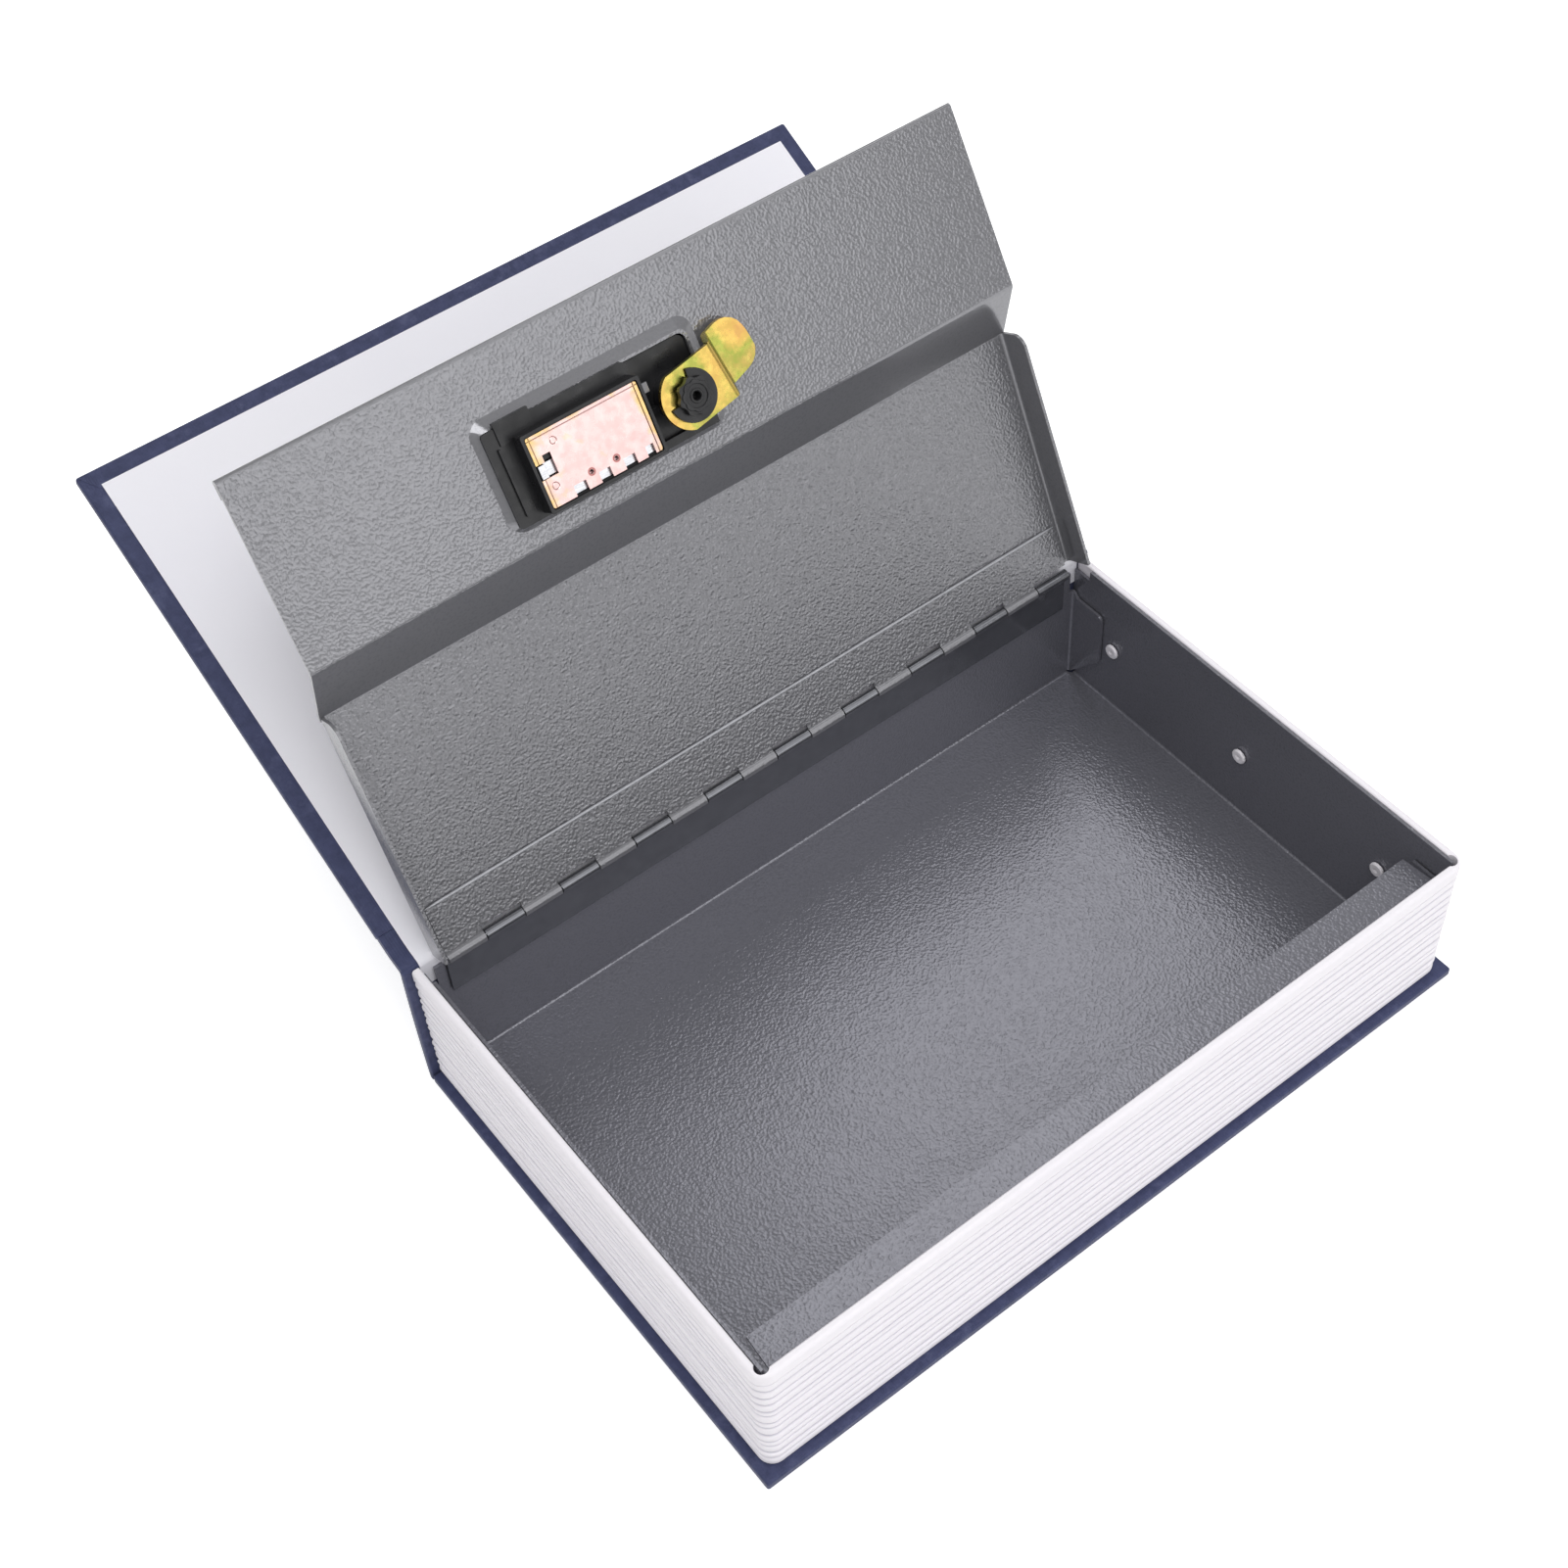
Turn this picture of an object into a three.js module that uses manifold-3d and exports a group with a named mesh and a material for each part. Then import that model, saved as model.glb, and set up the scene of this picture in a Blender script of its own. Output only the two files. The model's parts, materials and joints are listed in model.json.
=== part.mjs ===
// A book-shaped steel cash box: a cloth-bound case with a ribbed page block, a folded steel tray,
// a hinged steel lid with a three-wheel combination lock, and a front cover that folds over the lid.
// Millimetres. +X runs along the hinge, +Y from the fore edge to the spine, +Z up.
// The origin is on the underside of the bottom board, at the middle of the case's length and depth.
// The box stands open: each hinged group is modelled closed and then turned back about its hinge.
import * as THREE from "three";
import { mergeVertices } from "three/addons/utils/BufferGeometryUtils.js";
import Module from "manifold-3d";

const wasm = await Module();
wasm.setup();

// Clearances and cuts
const seatGap = 0.25;
const runningGap = 0.3;
const cutOverrun = 1;
const weldDistance = 0.0001;

// Case boards and spine
const caseLength = 239.3;
const caseDepth = 154.3;
const boardThickness = 3;
const boardCornerRadius = 1.3;
const boardEdgeRadius = 1.1;
const spineThickness = 2.5;
const spineBulge = 0.5;

// Page block
const pageSetback = 2.3;
const pageWall = 2.3;
const pageHeight = 47.6;
const pageCornerRadius = 4.5;
const pageBandHeight = 4.6;
const pageTopRadius = 1.1;
const ribDepth = 0.75;
const ribHeightShares = [3.2, 2.6, 3.4, 2.2, 3.0, 2.8, 3.6, 2.4, 3.0, 2.6, 3.4, 2.4, 3.0, 3.2, 2.6, 3.0];
const ribFaceShares = [
  [0.16, 0.8],
  [0.5, 1],
  [0.84, 0.8],
];
const reliefRadius = 1.9;

// Steel tray
const traySheet = 0.9;
const trayBend = 0.8;
const trayTopDrop = 0.3;
const trayBackClearance = 0.65;
const lipTop = 43.2;
const lipDepth = 12.3;
const lipHalfLength = 110.2;
const lipEndSlant = 0.9;
const backWallTop = 47.7;
const backWallHalfLength = 111.3;
const backWallEarTop = 39.5;
const frontTabLength = 11;
const backTabLength = 12.6;
const backTabTop = 37.3;
const backTabFootHeight = 18.5;
const tabRoundness = 2;
const rearNotchLength = 6.3;
const rearNotchHeight = 3.4;
const cornerHoleRadius = 1.4;
const foldLap = 3;

// Studs that hold the page block to the tray
const studHeight = 26.7;
const studFrontMargin = 10.5;
const studBackMargin = 4.7;
const studHeadRadius = 2.4;
const studHeadThickness = 0.9;
const studDimpleRadius = 0.9;
const studDimpleDepth = 0.35;
const studShankRadius = 1.3;
const studGrip = 1.1;
const studCount = 3;

// Lid hinge
const hingeRise = 0.15;
const barrelRadius = 1.7;
const boreRadius = 0.86;
const pinRadius = 0.68;
const knucklePitch = 12;
const knuckleCount = 18;
const leafThickness = 0.6;
const boxLeafOffset = 0.65;
const leafCutBack = 3.1;
const lidLeafWidth = 15.6;
const boxLeafDrop = 15.4;

// Lid
const lidOpenAngle = 116.2;
const lidSheet = 0.9;
const lidBend = 1.2;
const lidHalfLength = 111.1;
const lidStart = 3.4;
const lidPanelWidth = 75.8;
const stepRun = 14.9;
const stepDrop = 10.9;
const lockSectionWidth = 51.9;
const lockTilt = 5;
const hemWidth = 5;
const hemGap = 0.3;
const flangeDepth = 9;
const flangeCornerRadius = 4;

// Pressed collar round the lock opening, on the lid's inner face
const collarLeft = 49.9;
const collarRight = 16.9;
const collarNear = 5.4;
const collarFar = 36;
const collarCornerRadius = 4.5;
const collarHeight = 2;
const collarSlope = 3;
const collarNearSlope = 1.6;
const collarRim = 0.8;
const collarSinkShare = 0.4;
const collarLapShare = 0.9;
const collarCutShare = 0.2;

// Lock housing
const housingFloor = 0.9;
const housingCornerRadius = 1.1;
const flangeLevel = 3.1;
const flangeThickness = 0.8;
const flangeOverLeft = 2.3;
const flangeOverSide = 0.6;
const caseWall = 1.1;
const caseRim = 0.35;
const ledgeRidgeWidth = 0.6;
const ledgeRidgeHeight = 0.8;
const ledgeRidgeInset = 4.6;
const ledgeRidgeLength = 18;
const earLeft = 44.5;
const earRight = 34.2;
const earFar = 34.2;
const earHeight = 0.5;
const shaftBossRadius = 6.6;
const rightFloorLevel = 1.2;
const webThickness = 1.2;

// Lock plate
const plateLeft = 40;
const plateRight = 6.9;
const plateNear = 9.3;
const plateFar = 28.1;
const plateLevel = 8;
const plateThickness = 0.8;
const plateCornerRadius = 0.6;
const slotStemNear = 16.8;
const slotStemFar = 20.8;
const slotCrossLeft = 37.4;
const slotCrossRight = 35.1;
const slotCrossNear = 17.4;
const slotCrossFar = 22.6;
const windowEdgesLeft = [33, 25.4, 18, 11.3];
const windowEdgesRight = [29.3, 22, 14.5, 8.9];
const windowFar = 12.1;
const pinHoleXs = [27, 19.5];
const pinHoleU = 13.1;
const pinHoleRadius = 0.6;

// Reset lever
const leverTabLength = 1.9;
const leverProud = 0.35;
const leverShankLength = 5;
const leverThickness = 0.6;

// Number wheels
const wheelXs = [28.5, 20.9, 13.3];
const wheelU = 18.5;
const wheelLevel = 2;
const wheelRadius = 4.9;
const wheelWidth = 5.2;
const wheelDigits = 10;
const wheelFlute = 0.3;
const wheelShaftRadius = 0.8;
const wheelShaftGrip = 1.4;
const wheelWellMargin = 1.6;

// Detent spring and locking bar
const detentThickness = 0.5;
const detentMargin = 0.4;
const barWidth = 2.6;
const barThickness = 1.2;
const barToothDepth = 2.4;
const barEndX = 3.6;

// Turn shaft, cam and retainer
const shaftX = 5.05;
const shaftU = 18.5;
const shaftRadius = 3.2;
const shaftLobes = 8;
const shaftLobeRadius = 5.1;
const shaftLobeDepth = 0.6;
const shaftHeadHeight = 1.5;
const shaftHoleRadius = 1.2;
const shaftHoleDepth = 3;
const camThickness = 1.5;
const camRoundRadius = 8.7;
const camArmHalfWidth = 7.9;
const camJoggleStart = 10.9;
const camJoggleEnd = 13.9;
const camTongueLevel = 2.4;
const camTongueHalfWidth = 7.6;
const camTongueShift = 0.9;
const camTongueTurn = 9;
const camTongueCorner = 5.8;
const camReach = 24.6;
const camRestAngle = 9.7;
const retainerRadius = 6.9;
const retainerThickness = 0.6;
const retainerMissingAngle = 105;
const retainerMissingMiddle = 232;

// Escutcheon and knob on the lid's outer face
const escutcheonMargin = 1.2;
const escutcheonThickness = 1.4;
const escutcheonRimHeight = 0.7;
const escutcheonRimWidth = 1.4;
const wheelWindowMargin = 0.5;
const knobRadius = 8.3;
const knobBaseHeight = 1.8;
const knobGripWidth = 4.4;
const knobGripHeight = 3.6;
const knobSocketDepth = 3.4;
const knobChamfer = 0.6;

// Front cover
const coverOpenAngle = 151.8;
const coverWidth = 157.2;
const coverPivotSetback = 0.05;
const coverPivotRise = 1.2;
const coverRise = 1.35;
const coverBeadRadius = 1.8;
const jointWidth = 9;
const jointThickness = 1;
const endpaperThickness = 0.3;
const endpaperBorder = 5;
const endpaperEnd = 2.4;

// Places worked out from the sizes above
const backY = caseDepth / 2;
const frontY = -caseDepth / 2;
const spineInnerY = backY - spineThickness;
const boardRearY = spineInnerY - seatGap;
const pageBaseZ = boardThickness + seatGap;
const pageTopZ = pageBaseZ + pageHeight;
const pageOuterX = caseLength / 2 - pageSetback;
const pageInnerX = pageOuterX - pageWall;
const pageFrontY = frontY + pageSetback;
const pageInnerFrontY = pageFrontY + pageWall;
const trayBackOuterY = spineInnerY - trayBackClearance;
const trayBackInnerY = trayBackOuterY - traySheet;
const trayFrontOuterY = pageInnerFrontY + seatGap;
const trayOuterX = pageInnerX - seatGap;
const trayInnerX = trayOuterX - traySheet;
const trayFloorZ = pageBaseZ + traySheet;
const trayTopZ = pageTopZ - trayTopDrop;
const lipEdgeY = trayFrontOuterY + lipDepth;
const hingeY = trayBackInnerY - seatGap - leafThickness - boxLeafOffset;
const hingeZ = pageTopZ + hingeRise;
const hingeHalfLength = (knucklePitch * knuckleCount) / 2;
const lockSectionStart = lidPanelWidth + stepRun;
const lockPlaneDrop = stepDrop - seatGap;
const pivotY = backY - coverPivotSetback;
const pivotZ = hingeZ + coverPivotRise;
const camTopLevel = plateLevel + caseRim + seatGap;
const retainerLevel = camTopLevel + camThickness + seatGap;
const headLevel = retainerLevel + retainerThickness + seatGap;
const plateBackLevel = plateLevel - plateThickness;
const escutcheonLevel = lidSheet + seatGap;

const circleSides = 24;
const smallCircleSides = 12;
const arcSteps = 5;

const hammerGrey = new THREE.MeshStandardMaterial({ color: 0x7b7e84, roughness: 0.42, metalness: 0.25 });
const hingeGrey = new THREE.MeshStandardMaterial({ color: 0x8a8d93, roughness: 0.35, metalness: 0.4 });
const bareSteel = new THREE.MeshStandardMaterial({ color: 0xc9cbd0, roughness: 0.25, metalness: 1 });
const navyCloth = new THREE.MeshStandardMaterial({ color: 0x3c4468, roughness: 0.85, metalness: 0 });
const whitePlastic = new THREE.MeshStandardMaterial({ color: 0xeae6ee, roughness: 0.5, metalness: 0 });
const whitePaper = new THREE.MeshStandardMaterial({ color: 0xe6e5ee, roughness: 0.8, metalness: 0 });
const blackPlastic = new THREE.MeshStandardMaterial({ color: 0x1c1c1f, roughness: 0.4, metalness: 0 });
const pinkPlate = new THREE.MeshStandardMaterial({ color: 0xf0cdbb, roughness: 0.3, metalness: 0.9 });
const yellowZinc = new THREE.MeshStandardMaterial({ color: 0xdcc15c, roughness: 0.3, metalness: 0.9 });

// A closed three.js geometry as a solid that can be joined and cut.
function solidOf(geometry) {
  const bare = geometry.clone();
  bare.deleteAttribute("normal");
  bare.deleteAttribute("uv");
  const merged = mergeVertices(bare, weldDistance);
  return new wasm.Manifold(
    new wasm.Mesh({
      numProp: 3,
      vertProperties: new Float32Array(merged.attributes.position.array),
      triVerts: new Uint32Array(merged.index.array),
    }),
  );
}

// A solid as a flat-shaded three.js geometry.
function geometryOf(solid) {
  const mesh = solid.getMesh();
  const indexed = new THREE.BufferGeometry();
  indexed.setAttribute("position", new THREE.BufferAttribute(mesh.vertProperties, mesh.numProp));
  indexed.setIndex(new THREE.BufferAttribute(mesh.triVerts, 1));
  const flat = indexed.toNonIndexed();
  flat.computeVertexNormals();
  return flat;
}

function join(first, ...others) {
  return others.reduce((sum, geometry) => sum.add(solidOf(geometry)), solidOf(first));
}

function named(name, geometry, material) {
  const mesh = new THREE.Mesh(geometry, material);
  mesh.name = name;
  return mesh;
}

function shapeOf(points) {
  return new THREE.Shape(points.map(([a, b]) => new THREE.Vector2(a, b)));
}

const alongX = new THREE.Matrix4().makeBasis(
  new THREE.Vector3(0, 1, 0),
  new THREE.Vector3(0, 0, 1),
  new THREE.Vector3(1, 0, 0),
);
const alongY = new THREE.Matrix4().makeBasis(
  new THREE.Vector3(1, 0, 0),
  new THREE.Vector3(0, 0, 1),
  new THREE.Vector3(0, -1, 0),
);

function pushed(shape, depth, curveSegments) {
  return new THREE.ExtrudeGeometry(shape, { depth, bevelEnabled: false, curveSegments });
}

// An outline of (y, z) pushed along X from one place to another.
function extrudeX(shape, from, to, sides = arcSteps) {
  return pushed(shape, to - from, sides).applyMatrix4(alongX).translate(from, 0, 0);
}

// An outline of (x, z) pushed along Y from one place to another.
function extrudeY(shape, from, to, sides = arcSteps) {
  return pushed(shape, to - from, sides).applyMatrix4(alongY).translate(0, to, 0);
}

// An outline of (x, y) pushed up Z from one place to another.
function extrudeZ(shape, from, to, sides = arcSteps) {
  return pushed(shape, to - from, sides).translate(0, 0, from);
}

function block(x0, x1, y0, y1, z0, z1) {
  const box = new THREE.BoxGeometry(x1 - x0, y1 - y0, z1 - z0);
  return box.translate((x0 + x1) / 2, (y0 + y1) / 2, (z0 + z1) / 2);
}

// The points round a rounded rectangle, the same number for every size.
function rectPoints(x0, x1, y0, y1, radius) {
  const corners = [
    [x1 - radius, y0 + radius],
    [x1 - radius, y1 - radius],
    [x0 + radius, y1 - radius],
    [x0 + radius, y0 + radius],
  ];
  return corners.flatMap(([x, y], corner) =>
    Array.from({ length: arcSteps + 1 }, (_, i) => {
      const angle = (Math.PI / 2) * (corner - 1 + i / arcSteps);
      return new THREE.Vector2(x + radius * Math.cos(angle), y + radius * Math.sin(angle));
    }),
  );
}

function roundedRect(x0, x1, y0, y1, radius) {
  return new THREE.Shape(rectPoints(x0, x1, y0, y1, radius));
}

function rodZ(radius, x, y, z0, z1, sides = circleSides) {
  const rod = new THREE.CylinderGeometry(radius, radius, z1 - z0, sides);
  return rod.rotateX(Math.PI / 2).translate(x, y, (z0 + z1) / 2);
}

function rodX(radius, x0, x1, y, z, sides = circleSides) {
  const rod = new THREE.CylinderGeometry(radius, radius, x1 - x0, sides);
  return rod.rotateZ(Math.PI / 2).translate((x0 + x1) / 2, y, z);
}

// The outline of a folded sheet whose middle runs through the corners, with the bends rounded inside.
// A corner's third value, where it has one, is its own bend radius.
function foldedSheet(corners, thickness, bendRadius) {
  const points = corners.map(([a, b]) => new THREE.Vector2(a, b));
  const last = points.length - 1;
  const left = [];
  const right = [];
  const place = (point, direction) => {
    const across = new THREE.Vector2(-direction.y, direction.x).multiplyScalar(thickness / 2);
    left.push(point.clone().add(across));
    right.unshift(point.clone().sub(across));
  };
  points.forEach((corner, i) => {
    const into = corner.clone().sub(points[Math.max(i - 1, 0)]).normalize();
    const out = points[Math.min(i + 1, last)].clone().sub(corner).normalize();
    if (i === 0 || i === last) {
      place(corner, i === 0 ? out : into);
      return;
    }
    const turn = Math.atan2(into.cross(out), into.dot(out));
    const radius = (corners[i][2] ?? bendRadius) + thickness / 2;
    const side = new THREE.Vector2(-into.y, into.x).multiplyScalar(Math.sign(turn) * radius);
    const start = corner.clone().addScaledVector(into, -radius * Math.tan(Math.abs(turn) / 2));
    const middle = start.clone().add(side);
    for (let k = 0; k <= arcSteps; k++) {
      const angle = (turn * k) / arcSteps;
      const spot = start.clone().sub(middle).rotateAround(new THREE.Vector2(), angle).add(middle);
      place(spot, into.clone().rotateAround(new THREE.Vector2(), angle));
    }
  });
  return new THREE.Shape(left.concat(right));
}

// A closed solid from loops of equal length: its ends are capped, or it closes on itself as a ring.
function loft(loops, ring = false) {
  const size = loops[0].length;
  const positions = loops.flat().flatMap((p) => [p.x, p.y, p.z]);
  const index = [];
  const spans = ring ? loops.length : loops.length - 1;
  for (let i = 0; i < spans; i++) {
    const here = i * size;
    const next = ((i + 1) % loops.length) * size;
    for (let j = 0; j < size; j++) {
      const k = (j + 1) % size;
      index.push(here + j, here + k, next + k, here + j, next + k, next + j);
    }
  }
  if (!ring) {
    const flat = loops[0].map((p) => p.flatPoint);
    const faces = THREE.ShapeUtils.triangulateShape(flat, []);
    const end = (loops.length - 1) * size;
    for (const [a, b, c] of faces) {
      index.push(a, c, b, end + a, end + b, end + c);
    }
  }
  const geometry = new THREE.BufferGeometry();
  geometry.setAttribute("position", new THREE.Float32BufferAttribute(positions, 3));
  geometry.setIndex(index);
  return geometry;
}

// A loft may come out facing in, which its signed volume shows.
function facingOut(geometry) {
  const position = geometry.attributes.position;
  const index = geometry.index.array;
  const corner = (i) => new THREE.Vector3().fromBufferAttribute(position, index[i]);
  let volume = 0;
  for (let i = 0; i < index.length; i += 3) {
    volume += corner(i).dot(corner(i + 1).cross(corner(i + 2)));
  }
  if (volume > 0) return geometry;
  for (let i = 0; i < index.length; i += 3) {
    [index[i + 1], index[i + 2]] = [index[i + 2], index[i + 1]];
  }
  return geometry;
}

// A hardboard with rounded long edges, cut to a plan with rounded corners.
function boardSolid(y0, y1, z0, roundFront) {
  const z1 = z0 + boardThickness;
  const profile = new THREE.Shape();
  profile.moveTo(y1, z0);
  profile.lineTo(y1, z1);
  if (roundFront) {
    profile.lineTo(y0 + boardEdgeRadius, z1);
    profile.absarc(y0 + boardEdgeRadius, z1 - boardEdgeRadius, boardEdgeRadius, Math.PI / 2, Math.PI);
    profile.lineTo(y0, z0 + boardEdgeRadius);
    profile.absarc(y0 + boardEdgeRadius, z0 + boardEdgeRadius, boardEdgeRadius, Math.PI, Math.PI * 1.5);
  }
  const slab = extrudeX(profile, -caseLength / 2, caseLength / 2);
  const rear = y1 + boardCornerRadius + cutOverrun;
  const plan = roundedRect(-caseLength / 2, caseLength / 2, y0, rear, boardCornerRadius);
  return solidOf(slab).intersect(solidOf(extrudeZ(plan, z0 - cutOverrun, z1 + cutOverrun)));
}

function bottomBoard() {
  return named("bottom_board", geometryOf(boardSolid(frontY, boardRearY, 0, true)), navyCloth);
}

// The spine stands behind the block, bulges a little, and is hollowed along its top for the cover's joint.
function spine() {
  const top = hingeZ;
  const sag = (z) => spineBulge * (1 - ((2 * z) / top - 1) ** 2);
  const outer = Array.from({ length: 2 * arcSteps + 1 }, (_, i) => {
    const z = (top * i) / (2 * arcSteps);
    return [backY - spineBulge + sag(z), z];
  });
  const outline = shapeOf([[spineInnerY, 0], ...outer, [spineInnerY, top]]);
  const slab = extrudeX(outline, -caseLength / 2, caseLength / 2);
  const seatRadius = coverBeadRadius + runningGap;
  const halfCut = caseLength / 2 + cutOverrun;
  const seat = rodX(seatRadius, -halfCut, halfCut, pivotY, pivotZ);
  return named("spine", geometryOf(solidOf(slab).subtract(solidOf(seat))), navyCloth);
}

// Points of the page block's section: distance out from the inner face, and height.
function pageSection() {
  const ribTop = pageHeight - pageBandHeight;
  const total = ribHeightShares.reduce((sum, share) => sum + share, 0);
  const groove = pageWall - ribDepth;
  const points = [[0, 0]];
  let z = 0;
  for (const share of ribHeightShares) {
    const height = (ribTop * share) / total;
    points.push([groove, z]);
    for (const [upShare, outShare] of ribFaceShares) {
      points.push([groove + ribDepth * outShare, z + height * upShare]);
    }
    z += height;
  }
  points.push([groove, ribTop], [pageWall, ribTop + ribDepth]);
  for (let i = 0; i <= arcSteps; i++) {
    const angle = ((Math.PI / 2) * i) / arcSteps;
    const out = pageWall - pageTopRadius + pageTopRadius * Math.cos(angle);
    points.push([out, pageHeight - pageTopRadius + pageTopRadius * Math.sin(angle)]);
  }
  points.push([0, pageHeight]);
  return points;
}

// The block's walls: the ribbed section carried round the two side walls and the front.
function pageBlock() {
  const section = pageSection();
  const inner = pageCornerRadius - pageWall;
  const cornerX = pageOuterX - pageCornerRadius;
  const cornerY = pageFrontY + pageCornerRadius;
  const stations = [{ x: -cornerX, y: trayBackOuterY, angle: Math.PI }];
  for (let i = 0; i <= arcSteps; i++) {
    stations.push({ x: -cornerX, y: cornerY, angle: Math.PI * (1 + i / (2 * arcSteps)) });
  }
  for (let i = 0; i <= arcSteps; i++) {
    stations.push({ x: cornerX, y: cornerY, angle: Math.PI * (1.5 + i / (2 * arcSteps)) });
  }
  stations.push({ x: cornerX, y: trayBackOuterY, angle: 2 * Math.PI });
  const loops = stations.map(({ x, y, angle }) =>
    section.map(([out, z]) => {
      const reach = inner + out;
      const point = new THREE.Vector3(reach * Math.cos(angle), reach * Math.sin(angle), z);
      point.add(new THREE.Vector3(x, y, pageBaseZ));
      point.flatPoint = new THREE.Vector2(out, z);
      return point;
    }),
  );
  let body = solidOf(facingOut(loft(loops)));
  const reliefX = pageInnerX - reliefRadius / 2;
  const reliefY = pageInnerFrontY + reliefRadius / 2;
  for (const side of [-1, 1]) {
    const reliefTop = pageTopZ + cutOverrun;
    const relief = rodZ(reliefRadius, side * reliefX, reliefY, 0, reliefTop, smallCircleSides);
    body = body.subtract(solidOf(relief));
    const depth = seatGap + traySheet + studGrip + runningGap;
    for (const y of studYs()) {
      const holeStart = side * (trayInnerX - cutOverrun);
      const holeEnd = side * (trayInnerX + depth);
      const radius = studShankRadius + runningGap;
      const hole = rodX(radius, Math.min(holeStart, holeEnd), Math.max(holeStart, holeEnd), y, studHeight);
      body = body.subtract(solidOf(hole));
    }
  }
  return named("page_block", geometryOf(body), whitePlastic);
}

// The first and last studs stand clear of the tray's corner tabs, with the others spread between them.
function studYs() {
  const first = trayFrontOuterY + frontTabLength + studFrontMargin;
  const last = trayBackInnerY - backTabLength - studBackMargin;
  return Array.from({ length: studCount }, (_, i) => first + ((last - first) * i) / (studCount - 1));
}

// A side wall of the tray, folded up from the floor, with its rear top notch and stud holes.
function traySideWall(side) {
  const middleX = trayInnerX + traySheet / 2;
  const middleZ = pageBaseZ + traySheet / 2;
  const fold = foldedSheet(
    [
      [trayInnerX - foldLap, middleZ],
      [middleX, middleZ],
      [middleX, trayTopZ],
    ],
    traySheet,
    trayBend,
  );
  let wall = solidOf(extrudeY(fold, trayFrontOuterY, trayBackOuterY));
  const notchY = trayBackOuterY - rearNotchLength;
  const notchZ = trayTopZ - rearNotchHeight;
  const wallEnd = trayOuterX + cutOverrun;
  const notch = block(0, wallEnd, notchY, trayBackOuterY + cutOverrun, notchZ, trayTopZ + cutOverrun);
  wall = wall.subtract(solidOf(notch));
  for (const y of studYs()) {
    const hole = rodX(studShankRadius + runningGap, trayInnerX - cutOverrun, wallEnd, y, studHeight);
    wall = wall.subtract(solidOf(hole));
  }
  return side > 0 ? wall : mirroredX(wall);
}

function mirroredX(solid) {
  const geometry = geometryOf(solid);
  geometry.scale(-1, 1, 1);
  const position = geometry.attributes.position;
  for (let i = 0; i < position.count; i += 3) {
    const b = new THREE.Vector3().fromBufferAttribute(position, i + 1);
    const c = new THREE.Vector3().fromBufferAttribute(position, i + 2);
    position.setXYZ(i + 1, c.x, c.y, c.z);
    position.setXYZ(i + 2, b.x, b.y, b.z);
  }
  return solidOf(geometry);
}

// A corner tab of the front wall, folded back along the side wall.
function frontTab() {
  const x = trayInnerX - runningGap - traySheet / 2;
  const y = trayFrontOuterY + traySheet / 2;
  const fold = foldedSheet(
    [
      [x - foldLap, y],
      [x, y],
      [x, trayFrontOuterY + frontTabLength],
    ],
    traySheet,
    trayBend,
  );
  return solidOf(extrudeZ(fold, trayFloorZ + trayBend, lipTop - traySheet - trayBend));
}

// A corner tab of the back wall, folded forward along the side wall and tapered towards the floor.
function backTab() {
  const x = trayInnerX - runningGap - traySheet / 2;
  const y = trayBackInnerY + traySheet / 2;
  const endY = trayBackInnerY - backTabLength;
  const fold = foldedSheet(
    [
      [x - foldLap, y],
      [x, y],
      [x, endY],
    ],
    traySheet,
    trayBend,
  );
  const outline = new THREE.Shape();
  const footZ = trayFloorZ + trayBend;
  outline.moveTo(trayBackOuterY + cutOverrun, footZ);
  outline.lineTo(trayBackOuterY + cutOverrun, backWallEarTop);
  outline.lineTo(trayBackInnerY, backWallEarTop);
  outline.lineTo(trayBackInnerY - tabRoundness, backTabTop);
  outline.lineTo(endY + tabRoundness, backTabTop);
  outline.absarc(endY + tabRoundness, backTabTop - tabRoundness, tabRoundness, Math.PI / 2, Math.PI);
  outline.lineTo(endY, backTabFootHeight);
  outline.lineTo(trayBackInnerY - trayBend, footZ);
  const trim = extrudeX(outline, x - foldLap - cutOverrun, trayOuterX);
  return solidOf(extrudeZ(fold, footZ, backWallEarTop)).intersect(solidOf(trim));
}

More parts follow.
